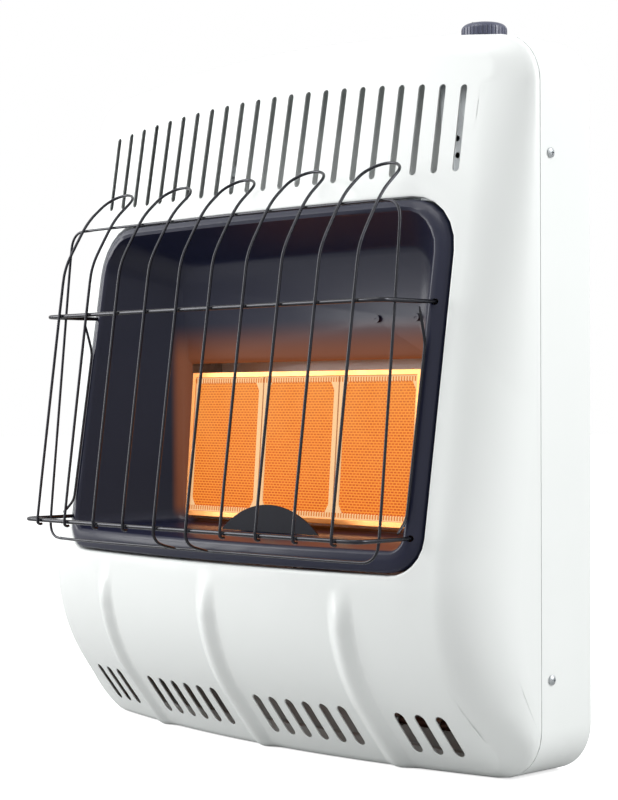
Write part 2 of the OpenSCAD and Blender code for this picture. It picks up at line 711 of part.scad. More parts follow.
// Burner, drawn upright about the middle of the plaques' front and then leaned back
stack_half = (3 * tile_w + 2 * seal_t) / 2;
frame_half = stack_half + seat + burner_t;
frame_high = tile_h / 2 + seat + burner_t;
frame_lip = 3.5;
gasket_t = 1;
chamber_y = tile_t + gasket_t + seat;
module leaned() {
    translate([burner_x, seam_y - plaque_d, burner_z]) rotate([-plaque_lean, 0, 0]) children();
}
module centred_block(half, y0, y1, high) {
    block([-half, y0, -high], [half, y1, high]);
}
module burner_frame() color("silver") leaned() difference() {
    centred_block(frame_half, -burner_t - seat, tile_t + gasket_t, frame_high);
    centred_block(stack_half + seat, -seat, tile_t + gasket_t + overrun, tile_h / 2 + seat);
    centred_block(stack_half - frame_lip, -burner_t - overrun, 0, tile_h / 2 - frame_lip);
}
margin_x = 5;
margin_z = 4;
bevel = 9;
glow_sink = 0.6;
module plaque(k) {
    a = tile_w / 2 - margin_x;
    b = tile_h / 2 - margin_z;
    color("orange") leaned() translate([k * (tile_w + seal_t), 0, 0]) difference() {
        block([-tile_w / 2, 0, -tile_h / 2], [tile_w / 2, tile_t, tile_h / 2]);
        slab(-overrun, glow_sink) polygon([[bevel - a, -b], [a - bevel, -b], [a, bevel - b], [a, b - bevel],
            [a - bevel, b], [bevel - a, b], [-a, b - bevel], [-a, bevel - b]]);
    }
}
module plaque_left() plaque(-1);
module plaque_middle() plaque(0);
module plaque_right() plaque(1);
module tile_seals() color("linen") leaned() for (s = [-1, 1])
    translate([s * (tile_w + seal_t) / 2, 0, 0])
        block([-seal_t / 2, seat, -tile_h / 2], [seal_t / 2, tile_t - seat, tile_h / 2]);
module plaque_gasket() color("linen") leaned() difference() {
    centred_block(stack_half, tile_t, tile_t + gasket_t, tile_h / 2);
    for (k = [-1, 0, 1]) translate([k * (tile_w + seal_t), 0, 0])
        centred_block(tile_w / 2 - margin_x, tile_t - overrun, tile_t + gasket_t + overrun,
            tile_h / 2 - margin_x);
}
chamber_half = stack_half - seat;
chamber_high = tile_h / 2 - seat;
mixer_l = 56;
mixer_end = burner_x + chamber_half + mixer_l;
module burner_chamber() color("silver") leaned() difference() {
    union() {
        centred_block(frame_half, chamber_y, chamber_y + burner_t, frame_high);
        centred_block(chamber_half, chamber_y, chamber_y + chamber_d, chamber_high);
    }
    centred_block(chamber_half - burner_t, chamber_y - overrun, chamber_y + chamber_d - burner_t,
        chamber_high - burner_t);
    rod_x(0, frame_half + overrun, mixer_local[0], mixer_local[1], mixer_r + seat);
}
brace_span = [-2, 46];
brace_z = [burner_z + brace_span[0], burner_z + brace_span[1]];
brace_back = 20;
brace_y = wall_y + brace_back;
brace_leg = 12;
module brace(x0, x1) {
    block([x0, brace_y, brace_z[0]], [x1, brace_y + sheet_t, brace_z[1]]);
    for (x = [x0, x1 - sheet_t])
        block([x, brace_y, brace_z[0]], [x + sheet_t, brace_y + brace_leg, brace_z[1]]);
}
module burner_brackets() color("silver") {
    brace(burner_x + chamber_half + seat, post_x - seat);
    brace(seat - post_x, burner_x - chamber_half - seat);
}

// Mixing tube with a bell mouth, and the injector that faces it
mixer_wall = 1;
bell_l = 15;
bell_r = 1.4 * mixer_r;
collar_r = 1.35 * mixer_r;
mixer_start = burner_x + chamber_half - 2 * burner_t;
module mixing_tube() color("lightgray") translate([0, mixer_y, mixer_z]) difference() {
    union() {
        rod_x(mixer_start, mixer_end - bell_l, 0, 0, mixer_r);
        rod_x(burner_x + frame_half + seat, burner_x + frame_half + seat + burner_t, 0, 0, collar_r);
        translate([mixer_end - bell_l, 0, 0]) rotate([0, 90, 0])
            cylinder(r1 = mixer_r, r2 = bell_r, h = bell_l);
    }
    rod_x(mixer_start - overrun, mixer_end - bell_l + overrun, 0, 0, mixer_r - mixer_wall);
    translate([mixer_end - bell_l, 0, 0]) rotate([0, 90, 0])
        cylinder(r1 = mixer_r - mixer_wall, r2 = bell_r - mixer_wall, h = bell_l + overrun / 100);
}
injector_gap = 6;
injector_x = mixer_end + injector_gap;
injector_r = 5;
injector_tip = 6;
holder_back = 16;
holder_x = injector_x + holder_back;
injector_end = holder_x + 4 * injector_r;
supply_x = injector_end + supply_out;
inlet_tube_x = supply_x + tube_gap;
inlet_x = inlet_tube_x - tube_out - port_l - regulator_half[0];
orifice_r = 1;
module injector() color("goldenrod") translate([0, mixer_y, mixer_z]) difference() {
    union() {
        translate([injector_x, 0, 0]) rotate([0, 90, 0])
            cylinder(r1 = injector_r / 2, r2 = injector_r, h = injector_tip);
        rod_x(injector_x + injector_tip, injector_end, 0, 0, injector_r);
        translate([holder_x + sheet_t + seat, 0, 0]) rotate([0, 90, 0])
            cylinder(r = 1.8 * injector_r, h = 1.2 * injector_r, $fn = 6);
    }
    rod_x(injector_x - overrun, injector_end + overrun, 0, 0, orifice_r);
}
holder_h = 19;
module injector_bracket() color("silver") difference() {
    union() {
        block([holder_x, mixer_y - 3 * injector_r, mixer_z - holder_h],
            [holder_x + sheet_t, post_back_y, mixer_z + holder_h]);
        block([holder_x, post_back_y - sheet_t, mixer_z - holder_h],
            [holder_x + post_foot_w, post_back_y, mixer_z + holder_h]);
    }
    rod_x(holder_x - overrun, holder_x + sheet_t + overrun, mixer_y, mixer_z, injector_r + fit);
}

// Gas valve under the knob
valve_x = knob_x;
valve_up = 14;
valve_top = corner_z + valve_up;
valve_base = valve_top - valve_h;
valve_forward = 2;
valve_front = knob_y - valve_d / 2 - valve_forward;
valve_right = valve_x + valve_w / 2;
boss_r = 3 * stem_r;
boss_h = 6;
boss_top = valve_top + boss_h;
plug_r = 9;
plug_depth = 32;
plug_base = valve_top - plug_depth;
plug_cover = 2;
plug_top = valve_top - plug_cover;
port_r = 6;
gas_way_r = 3;
port_up = [18, 36];
out_port = [mixer_y, valve_base + port_up[0]];
in_port_y = 8;
in_port = [in_port_y, valve_base + port_up[1]];
module valve_body() color("lightgray") difference() {
    union() {
        block([valve_x - valve_w / 2, valve_front, valve_base],
            [valve_right, valve_front + valve_d, valve_top]);
        rod_z(valve_x, knob_y, valve_top, boss_top, boss_r);
        for (p = [out_port, in_port]) rod_x(valve_right, valve_right + port_l, p[0], p[1], port_r);
    }
    rod_z(valve_x, knob_y, plug_base - fit, plug_top + fit, plug_r + fit);
    rod_z(valve_x, knob_y, plug_base, boss_top + overrun, stem_r + fit);
    for (p = [out_port, in_port])
        rod_x(valve_x + plug_r, valve_right + port_l + overrun, p[0], p[1], gas_way_r);
}
socket_floor = 4;
socket_base = plug_base + socket_floor;
flat_share = 0.7;
module d_rod(r, z0, z1) {
    intersection() {
        rod_z(valve_x, knob_y, z0, z1, r);
        block([valve_x - r, knob_y - r, z0], [valve_x + r, knob_y + flat_share * r, z1]);
    }
}
module valve_plug() color("goldenrod") difference() {
    rod_z(valve_x, knob_y, plug_base, plug_top, plug_r);
    d_rod(stem_r + fit, socket_base, plug_top + overrun);
    translate([valve_x, knob_y, socket_base - socket_floor / 2]) rotate([90, 0, 30])
        translate([0, 0, -plug_r - overrun]) cylinder(r = gas_way_r / 2, h = 2 * (plug_r + overrun));
}

// Stem, spring and knob
knob_base = knob_seat_z + seat;
knob_top = knob_base + knob_h;
knob_roof = 2;
stem_top = knob_top - knob_roof - seat;
stem_gap = 1;
stem_round = plug_top + push_travel + seat;
stem_base = socket_base + push_travel + stem_gap;
clip_t = 1.2;
clip_r = 1.8 * stem_r;
spring_room = 12;
cap_z = boss_top + spring_room;
cap_t = 2;
cap_r = boss_r + seat + cap_t;
stem_clip_z = cap_z - seat - clip_t;
groove_depth = 0.6;
module valve_stem() color("silver") difference() {
    union() {
        d_rod(stem_r, stem_base, stem_round);
        rod_z(valve_x, knob_y, stem_round, stem_top, stem_r);
    }
    difference() {
        rod_z(valve_x, knob_y, stem_clip_z - fit, stem_clip_z + clip_t + fit, stem_r + overrun);
        rod_z(valve_x, knob_y, stem_clip_z - overrun, cap_z, stem_r - groove_depth);
    }
}
module stem_clip() color("dimgray") difference() {
    rod_z(valve_x, knob_y, stem_clip_z, stem_clip_z + clip_t, clip_r);
    rod_z(valve_x, knob_y, stem_clip_z - overrun, cap_z, stem_r - groove_depth + fit);
    block([valve_x - stem_r / 2, knob_y, stem_clip_z - overrun],
        [valve_x + stem_r / 2, knob_y + clip_r + overrun, cap_z]);
}
spring_wire_r = 0.5;
spring_gap = 0.6;
spring_r = stem_r + spring_wire_r + spring_gap;
spring_turns = 5;
spring_steps = 12;
spring_low = boss_top + spring_wire_r + seat;
spring_high = stem_clip_z - spring_wire_r - seat;
module stem_spring() color("gray") wire([for (j = [0:spring_turns * spring_steps])
    let (a = 360 * j / spring_steps, t = j / (spring_turns * spring_steps))
    [valve_x + spring_r * cos(a), knob_y + spring_r * sin(a), lerp(spring_low, spring_high, t)]],
    spring_wire_r, 6);
module knob_bush() color("dimgray") difference() {
    rod_z(valve_x, knob_y, valve_top + seat, cap_z + cap_t, cap_r);
    rod_z(valve_x, knob_y, valve_top, cap_z, cap_r - cap_t);
    rod_z(valve_x, knob_y, cap_z - overrun, cap_z + cap_t + overrun, stem_r + fit);
}
crown_n = 8;
crown_rise = 5.5;
crown_in = 7;
hub_r = 1.8 * stem_r;
hub_drop = 6;
hub_base = knob_base - hub_drop;
groove_r = 0.9;
module control_knob() color([0.16, 0.17, 0.27]) difference() {
    union() {
        translate([knob_x, knob_y, knob_base]) rotate_extrude($fn = 96) polygon(concat(
            [[0, 0], [knob_r, 0]],
            [for (j = [0:crown_n]) let (a = 90 * j / crown_n)
                [knob_r - crown_in * (1 - cos(a)), knob_h - crown_rise * (1 - sin(a))]],
            [[0, knob_h]]));
        rod_z(knob_x, knob_y, hub_base, knob_top - knob_roof, hub_r);
    }
    difference() {
        rod_z(knob_x, knob_y, knob_base - overrun, knob_top - 2 * knob_roof, knob_r - 2 * knob_roof);
        rod_z(knob_x, knob_y, knob_base - 2 * overrun, knob_top, hub_r);
    }
    rod_z(knob_x, knob_y, hub_base - overrun, stem_top + seat, stem_r + fit);
    for (k = [0:knob_grooves - 1]) rotate_about_knob(360 * k / knob_grooves)
        rod_z(knob_x + knob_r + groove_r / 4, knob_y, knob_base - overrun, knob_top + overrun, groove_r);
}
module rotate_about_knob(a) {
    translate([knob_x, knob_y, 0]) rotate(a) translate([-knob_x, -knob_y, 0]) children();
}

// Bracket that holds the valve, with two holes in its front plate
plate_y = valve_front - seat - sheet_t;
plate_drop = 34;
plate_low = valve_base - plate_drop;
plate_side = 4;
plate_left = valve_x - valve_w / 2 - plate_side;
plate_wing = 16;
plate_right = valve_right + plate_wing;
plate_rise = 4;
plate_top = valve_top + plate_rise;
plate_hole_x = 9;
plate_hole_z = [4, 18];
plate_hole_r = 2.5;
module valve_bracket() color("silver") difference() {
    union() {
        block([plate_left, plate_y, plate_low], [plate_right, plate_y + sheet_t, plate_top]);
        block([plate_left, plate_y, plate_low], [plate_left + sheet_t, post_back_y, plate_top]);
        block([plate_left, post_back_y - sheet_t, plate_low],
            [plate_left + post_foot_w, post_back_y, plate_top]);
    }
    for (d = plate_hole_z) rod_y(valve_x - plate_hole_x, plate_y - overrun, plate_y + sheet_t + overrun,
        valve_base - d, plate_hole_r);
}

// Pieces screwed into the underside of the valve
port_top = valve_base - seat;
piezo_off = [-13, -4];
piezo_at = [valve_x + piezo_off[0], knob_y + piezo_off[1]];
piezo_r = 7;
piezo_h = 30;
piezo_tip = 4;
module piezo_igniter() color("ivory") {
    rod_z(piezo_at[0], piezo_at[1], port_top - piezo_h, port_top, piezo_r);
    rod_z(piezo_at[0], piezo_at[1], port_top - piezo_h - piezo_tip, port_top - piezo_h, piezo_r / 2);
}
magnet_off = [11, 6];
magnet_at = [valve_x + magnet_off[0], knob_y + magnet_off[1]];
magnet_r = 6;
magnet_h = 22;
module magnet_unit() color("goldenrod") {
    rod_z(magnet_at[0], magnet_at[1], port_top - magnet_h, port_top, magnet_r);
    translate([magnet_at[0], magnet_at[1], port_top - magnet_h / 2])
        cylinder(r = 1.3 * magnet_r, h = magnet_h / 4, $fn = 6);
}

// Regulator and inlet at the base
regulator_z = [40, 78];
regulator_port = [8, 58];
fitting_base = 6;
fitting_top = regulator_z[0] - seat;
module gas_regulator() color("lightgray") difference() {
    union() {
        block([inlet_x - regulator_half[0], -regulator_half[1], regulator_z[0]],
            [inlet_x + regulator_half[0], regulator_half[1], regulator_z[1]]);
        rod_z(inlet_x, 0, regulator_z[1], regulator_z[1] + 2 * tube_r, 4 * tube_r);
        rod_x(inlet_x + regulator_half[0], inlet_x + regulator_half[0] + port_l,
            regulator_port[0], regulator_port[1], port_r);
    }
    rod_z(inlet_x, 0, regulator_z[0] - overrun, regulator_z[0] + inlet_l, inlet_r + fit);
    rod_x(inlet_x, inlet_x + regulator_half[0] + port_l + overrun,
        regulator_port[0], regulator_port[1], gas_way_r);
}
module regulator_posts() color("silver") for (s = [-1, 1]) rod_y(
    inlet_x + s * 0.6 * regulator_half[0], regulator_half[1] + seat, post_back_y,
    (regulator_z[0] + regulator_z[1]) / 2, tube_r);
module inlet_fitting() color("goldenrod") difference() {
    union() {
        translate([inlet_x, 0, fitting_base])
            cylinder(r = 1.7 * inlet_r, h = fitting_top - fitting_base, $fn = 6);
        rod_z(inlet_x, 0, fitting_top, regulator_z[0] + inlet_l - overrun, inlet_r);
    }
    rod_z(inlet_x, 0, fitting_base - overrun, fitting_base + inlet_l, inlet_r);
    rod_z(inlet_x, 0, fitting_base, regulator_z[0] + inlet_l, inlet_r / 2);
}

// Tubes and leads, each a list of corner points with rounded bends
bend = 14;
module supply_tube() color("silver") wire(bent([
    [valve_right + port_l + seat, out_port[0], out_port[1]],
    [supply_x, out_port[0], out_port[1]],
    [supply_x, mixer_y, mixer_z],
    [injector_end + seat, mixer_y, mixer_z]], bend), tube_r, 12);
module inlet_tube() color("silver") wire(bent([
    [valve_right + port_l + seat, in_port[0], in_port[1]],
    [inlet_tube_x, in_port[0], in_port[1]],
    [inlet_tube_x, regulator_port[0], regulator_port[1]],
    [inlet_x + regulator_half[0] + port_l + seat, regulator_port[0], regulator_port[1]]], bend), tube_r, 12);
nut_l = 2 * tube_r;
nut_gap = 2 * seat;
module nut(x, y, z) {
    translate([x, y, z]) rotate([0, 90, 0]) difference() {
        cylinder(r = 1.9 * tube_r, h = nut_l, $fn = 6);
        translate([0, 0, -overrun]) cylinder(r = tube_r + fit, h = nut_l + 2 * overrun);
    }
}
module tube_nuts() color("goldenrod") {
    nut(valve_right + port_l + nut_gap, out_port[0], out_port[1]);
    nut(valve_right + port_l + nut_gap, in_port[0], in_port[1]);
    nut(inlet_x + regulator_half[0] + port_l + nut_gap, regulator_port[0], regulator_port[1]);
}
lead_front = 5;
lead_y = seam_y - lead_front;
under_front = 14;
under_y = seam_y - under_front;
pilot_off = [11, -12];
pilot_at = [valve_x + pilot_off[0], knob_y + pilot_off[1]];
pilot_tube_r = 2;
lead_r = 1.2;
lead_side = [2, 8, 17];
lead_drop = [26, 34, 18];
gland_x = [-3, 3, 4];
gland_y = [3, -3, 3];
module lead(k, start, end, r) {
    x = start[0] + lead_side[k];
    z = floor_z - lead_drop[k];
    hole_x = lead_hole[0] + gland_x[k];
    hole_y = lead_hole[1] + gland_y[k];
    turn_z = min(start[2], plate_low) - bend;
    wire(bent([start, [start[0], start[1], turn_z], [x, lead_y, turn_z - 2 * bend], [x, lead_y, z],
        [x - bend, under_y, z], [hole_x, under_y, z], [hole_x, hole_y, z],
        [hole_x, hole_y, end[2]], end], bend / 2), r, 6);
}

// Pilot assembly on the floor, behind the shield
pilot_x = -8;
pilot_front = [35, 13];
pilot_y = [for (d = pilot_front) seam_y - d];
pilot_base = floor_at(pilot_y[1]) + seat;
pilot_up = 18;
pilot_foot = 30;
pilot_hole_front = [24.5, 32, 17];
pilot_hole_y = [for (d = pilot_hole_front) seam_y - d];
pilot_hole_up = [8, 12, 12];
pilot_hole_r = [4, 2.5, 3];
pilot_back = [9, 9, 9];
function pilot_z(k) = pilot_base + pilot_hole_up[k];
function pilot_end(k) = [pilot_x + pilot_back[k] + seat, pilot_hole_y[k], pilot_z(k)];
jet_l = 22;
jet_mouth_l = 12;
jet_wall = 2;
jet_port = 6;
module pilot_rod(k, x0, x1, r) {
    rod_x(x0, x1, pilot_hole_y[k], pilot_z(k), r);
}
module pilot_bracket() color("silver") difference() {
    union() {
        block([pilot_x - pilot_foot, pilot_y[0], pilot_base],
            [pilot_x + sheet_t, pilot_y[1], pilot_base + sheet_t]);
        block([pilot_x, pilot_y[0], pilot_base], [pilot_x + sheet_t, pilot_y[1], pilot_base + pilot_up]);
    }
    for (k = [0:2]) pilot_rod(k, pilot_x - overrun, pilot_x + sheet_t + overrun, pilot_hole_r[k] + fit);
}
module pilot_burner() color("silver") difference() {
    r = pilot_hole_r[0];
    mouth_x = pilot_x - jet_l - jet_mouth_l;
    union() {
        pilot_rod(0, pilot_x - jet_l, pilot_x + pilot_back[0], r);
        pilot_rod(0, mouth_x, pilot_x - jet_l, 1.3 * r);
    }
    pilot_rod(0, mouth_x - overrun, pilot_x - jet_l - jet_wall, r);
    rod_y(mouth_x + jet_port, pilot_hole_y[0], pilot_hole_y[0] + 2 * r, pilot_z(0), r / 2);
}
thermo_l = 20;
module thermocouple() color("lightgray") {
    pilot_rod(1, pilot_x - thermo_l, pilot_x + pilot_back[1], pilot_hole_r[1]);
    translate([pilot_x - thermo_l, pilot_hole_y[1], pilot_z(1)]) sphere(r = pilot_hole_r[1]);
}
spark_l = [12, 30];
module spark_electrode() color("linen") {
    pilot_rod(2, pilot_x - spark_l[0], pilot_x + pilot_back[2], pilot_hole_r[2]);
    pilot_rod(2, pilot_x - spark_l[1], pilot_x - spark_l[0], pilot_hole_r[2] / 4);
}
module pilot_tube() color("silver") lead(0, [pilot_at[0], pilot_at[1], port_top], pilot_end(0), pilot_tube_r);
module thermocouple_lead() color("peru")
    lead(1, [magnet_at[0], magnet_at[1], port_top - magnet_h - seat], pilot_end(1), lead_r);
module igniter_lead() color("firebrick")
    lead(2, [piezo_at[0], piezo_at[1], port_top - piezo_h - piezo_tip - seat], pilot_end(2), lead_r);

// Thermostat bulb low in the casing, and its capillary
bulb_r = 4;
bulb_side = [96, 16];
bulb_x = [for (d = bulb_side) post_x - d];
bulb_in = 22;
bulb_y = panel_y - bulb_in;
bulb_z = 26;
capillary_gap = 3;
capillary_x = post_x + post_foot_w + capillary_gap;
capillary_in = 10;
capillary_y = panel_y - capillary_in;
capillary_off = [4, 9];
capillary_end = [capillary_x + capillary_off[0], knob_y + capillary_off[1]];
module sensing_bulb() color("peru") rod_x(bulb_x[0], bulb_x[1], bulb_y, bulb_z, bulb_r);
module bulb_clips() color("silver") for (x = [lerp(bulb_x[0], bulb_x[1], 0.2), lerp(bulb_x[0], bulb_x[1], 0.8)])
    difference() {
        union() {
            rod_x(x, x + 2 * bulb_r, bulb_y, bulb_z, bulb_r + sheet_t);
            block([x, bulb_y, bulb_z - sheet_t / 2], [x + 2 * bulb_r, post_back_y, bulb_z + sheet_t / 2]);
            block([x, post_back_y - sheet_t, bulb_z - bulb_r],
                [x + 2 * bulb_r, post_back_y, bulb_z + 2 * bulb_r]);
        }
        rod_x(x - overrun, x + 2 * bulb_r + overrun, bulb_y, bulb_z, bulb_r + fit);
    }
module capillary_tube() color("peru") wire(bent([
    [bulb_x[1] + seat, bulb_y, bulb_z],
    [capillary_x - bend, bulb_y, bulb_z],
    [capillary_x, capillary_y, bulb_z + 2 * bend],
    [capillary_x, capillary_y, port_top - 2 * bend],
    [capillary_end[0], capillary_end[1], port_top - bend],
    [capillary_end[0], capillary_end[1], port_top]], bend), lead_r, 6);

// Wire guard
guard_bow = 3;
upper_bar_z = mouth_top - upper_bar_drop;
lower_bar_z = mouth_base + lower_bar_up;
arm_x = throat_half + flange_w / 2;
bar_half = arm_x - bar_in;
hairpin_pitch = (bar_half - bar_reach - hairpin_half) / 2;
function bowed(x, y) = y + guard_bow * pow(x / (2 * hairpin_pitch + hairpin_half), 2);
upper_leg_y = seam_y - upper_reach;
lower_leg_y = seam_y - lower_reach;
tip_y = seam_y - tip_reach;
tip_z = mouth_top + tip_up;
kink_up = 18.5;
kink_z = lower_bar_z + kink_up;
leg_slope = (upper_leg_y - lower_leg_y) / (upper_bar_z - kink_z);
shoulder_up = 44;
shoulder_z = upper_bar_z + shoulder_up;
shoulder_y = upper_leg_y + leg_slope * shoulder_up;
hoop_rise = [26.5, 44];
hoop_y = shoulder_y + hoop_rise[0];
hoop_z = shoulder_z + hoop_rise[1];
hoop_run = [tip_y - hoop_y, tip_z - hoop_z];
tip_depth = 16;
tip_n = 10;
tip_start = norm(hoop_run) - tip_depth;
leg_bend = 14;
weld_gap = 0.15;
toe_gap = 0.6;
toe_r = wire_r + bar_r + toe_gap;
foot_y = lower_leg_y - leg_slope * kink_up;
lower_bar_y = foot_y + toe_r;
knee_drop = 12;
ring_thinner = 0.1;
ring_r = wire_r - ring_thinner;
ring_span = [-18.5, 80];
guard_ring_z = [lower_bar_z + ring_span[0], upper_bar_z + ring_span[1]];
hoop_slope = hoop_rise[0] / hoop_rise[1];
ring_top_y = hoop_y - (hoop_z - guard_ring_z[1]) * hoop_slope
    + (wire_r + ring_r + weld_gap) * norm([1, hoop_slope]);
ring_back = 26.2;
ring_low_y = lower_leg_y + ring_back;
ring_in = 3.3;
ring_half = bar_half - ring_in;
function ring_y(z) = lerp(ring_low_y, ring_top_y, (z - guard_ring_z[0]) / (guard_ring_z[1] - guard_ring_z[0]));
function hoop_at(s) = [hoop_y + hoop_run[0] * s / norm(hoop_run), hoop_z + hoop_run[1] * s / norm(hoop_run)];
function leg(x, foot) = bent(concat(foot, [
    [x, bowed(x, shoulder_y), shoulder_z],
    [x, bowed(x, hoop_y), hoop_z],
    [x, bowed(x, hoop_at(tip_start)[0]), hoop_at(tip_start)[1]]]), leg_bend);
function toe(x) = [for (a = [300:-30:210])
    [x, bowed(x, lower_bar_y) + toe_r * cos(a), lower_bar_z + toe_r * sin(a)]];
function short_leg(x) = concat(toe(x), leg(x, [[x, bowed(x, foot_y), lower_bar_z]]));
function long_leg(x) = leg(x, [
    [x, bowed(x, ring_low_y) - wire_r - ring_r - weld_gap, guard_ring_z[0]],
    [x, bowed(x, foot_y - leg_slope * knee_drop), lower_bar_z - knee_drop]]);
function tip_arc(xc) = [for (j = [1:tip_n - 1]) let (
    a = 180 * j / tip_n,
    x = xc - hairpin_half * cos(a),
    p = hoop_at(tip_start + tip_depth * sin(a))) [x, bowed(x, p[0]), p[1]]];
module hairpin(k) {
    xc = k * hairpin_pitch;
    l = xc - hairpin_half;
    r = xc + hairpin_half;
    color("dimgray") wire(concat(k == 0 ? long_leg(l) : short_leg(l), tip_arc(xc),
        reversed(k == 0 ? long_leg(r) : short_leg(r))), wire_r, 8);
}
module hairpin_1() hairpin(-2);
module hairpin_2() hairpin(-1);
module hairpin_3() hairpin(0);
module hairpin_4() hairpin(1);
module hairpin_5() hairpin(2);
guard_holes_z = [lower_bar_z, upper_bar_z];
arm_depth = 8;
module guard_holes() {
    for (z = guard_holes_z)
        rod_y(arm_x, face_y(arm_x, z) - lip_d, face_y(arm_x, z) + 2 * lip_d, z, bar_r + 2 * seat);
}
bar_steps = 6;
bar_bend = 9;
function bar_path(z, y) = let (
    end_y = face_y(arm_x, z) + arm_depth,
    front = [for (j = [0:bar_steps])
        let (x = lerp(-bar_half, bar_half, j / bar_steps)) [x, bowed(x, y), z]])
    bent(concat([[-arm_x, end_y, z]], front, [[arm_x, end_y, z]]), bar_bend);
module upper_bar() color("dimgray")
    wire(bar_path(upper_bar_z, upper_leg_y + wire_r + bar_r + weld_gap), bar_r, 8);
module lower_bar() color("dimgray") wire(bar_path(lower_bar_z, lower_bar_y), bar_r, 8);
ring_corner = 18;
ring_steps = 4;
ring_signs = [[1, 0], [1, 1], [-1, 1], [-1, 0]];
function ring_point(j) = let (c = ring_signs[j % 4], z = guard_ring_z[c[1]])
    [c[0] * ring_half, bowed(ring_half, ring_y(z)), z];
function ring_run(j) = let (p = ring_point(j), q = ring_point(j + 1), d = unit(q - p))
    [p + d * ring_corner, q - d * ring_corner];
ring_loop_points = [for (j = [0:3])
    let (p = ring_point(j), u = ring_run(j + 3)[1], v = ring_run(j)[0], w = ring_run(j)[1])
    each concat(
        [for (i = [0:5]) let (t = i / 5) (1 - t) * (1 - t) * u + 2 * t * (1 - t) * p + t * t * v],
        [for (i = [1:ring_steps - 1]) lerp(v, w, i / ring_steps)])];
module guard_ring() color("dimgray")
    wire([for (p = ring_loop_points) [p[0], bowed(p[0], p[1]) - bowed(ring_half, 0), p[2]]],
        ring_r, 8, closed = true);
side_inset = 2.3;
side_x = arm_x - side_inset;
side_bend_up = 14.5;
side_bend_down = 32;
side_bend_z = [lower_bar_z + side_bend_up, upper_bar_z - side_bend_down];
side_end_up = bar_r + ring_r + weld_gap;
side_end_z = [lower_bar_z + side_end_up, upper_bar_z - side_end_up];
side_out = [10, 12.5];
function side_y(z) = face_y(side_x, z) - flange_rise - ring_r - seat;
side_steps = 4;
module guard_side_wires() color("dimgray") both_sides() wire(bent(concat(
    [[arm_x - ring_r, side_y(side_end_z[1]) - side_out[1], side_end_z[1]]],
    [for (j = [0:side_steps]) let (z = lerp(side_bend_z[1], side_bend_z[0], j / side_steps))
        [side_x, side_y(z), z]],
    [[arm_x - ring_r, side_y(side_end_z[0]) - side_out[0], side_end_z[0]]]), bar_r * 3), ring_r, 8);

rear_casing();
front_cover();
cover_clips();
side_screws();
wall_bracket();
chassis_posts();
firebox_pan();
pan_screws();
back_rail();
heat_deflector();
pilot_shield();
burner_frame();
plaque_left();
plaque_middle();
plaque_right();
tile_seals();
plaque_gasket();
burner_chamber();
burner_brackets();
mixing_tube();
injector();
injector_bracket();
supply_tube();
tube_nuts();
valve_body();
valve_bracket();
valve_plug();
valve_stem();
stem_clip();
stem_spring();
knob_bush();
control_knob();
piezo_igniter();
magnet_unit();
gas_regulator();
regulator_posts();
inlet_fitting();
inlet_tube();
pilot_bracket();
pilot_burner();
pilot_tube();
thermocouple();
thermocouple_lead();
spark_electrode();
igniter_lead();
sensing_bulb();
bulb_clips();
capillary_tube();
hairpin_1();
hairpin_2();
hairpin_3();
hairpin_4();
hairpin_5();
upper_bar();
lower_bar();
guard_ring();
guard_side_wires();
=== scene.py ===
import json
import math
import bmesh
import bpy
from mathutils import Matrix, Vector


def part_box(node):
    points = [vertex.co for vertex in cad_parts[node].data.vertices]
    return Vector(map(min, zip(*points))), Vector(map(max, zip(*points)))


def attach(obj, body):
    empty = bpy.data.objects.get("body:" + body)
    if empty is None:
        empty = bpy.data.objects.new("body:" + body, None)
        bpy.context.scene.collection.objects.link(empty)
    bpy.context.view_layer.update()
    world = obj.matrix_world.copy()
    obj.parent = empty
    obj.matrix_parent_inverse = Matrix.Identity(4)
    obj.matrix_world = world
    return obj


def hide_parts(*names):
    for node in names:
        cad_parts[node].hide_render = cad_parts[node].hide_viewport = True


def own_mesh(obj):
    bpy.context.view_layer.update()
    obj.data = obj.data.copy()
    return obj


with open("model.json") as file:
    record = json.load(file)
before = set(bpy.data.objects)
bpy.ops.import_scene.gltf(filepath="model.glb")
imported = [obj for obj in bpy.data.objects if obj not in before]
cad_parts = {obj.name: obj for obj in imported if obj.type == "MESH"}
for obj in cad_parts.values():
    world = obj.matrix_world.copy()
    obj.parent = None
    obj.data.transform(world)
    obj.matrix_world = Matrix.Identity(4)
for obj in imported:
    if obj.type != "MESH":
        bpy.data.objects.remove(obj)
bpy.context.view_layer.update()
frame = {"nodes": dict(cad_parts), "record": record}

mm = 0.001
heater = "heater"


# Small helpers
def linear(hexCode):  # an sRGB hex value as a linear colour
    parts = [int(hexCode[i:i + 2], 16) / 255 for i in (1, 3, 5)]
    return [c / 12.92 if c <= 0.04045 else ((c + 0.055) / 1.055) ** 2.4 for c in parts] + [1]


def addNode(tree, kind, inputs=None, **settings):
    node = tree.nodes.new("ShaderNode" + kind)
    for name, value in settings.items():
        setattr(node, name, value)
    for name, value in (inputs or {}).items():
        if isinstance(value, bpy.types.NodeSocket):
            tree.links.new(value, node.inputs[name])
        else:
            node.inputs[name].default_value = value
    return node


def startMaterial(name, shader):
    material = bpy.data.materials.new(name)
    material.use_nodes = True
    surface = material.node_tree.nodes["Principled BSDF"]
    for socket, value in shader.items():
        surface.inputs[socket].default_value = value
    return material, material.node_tree, surface


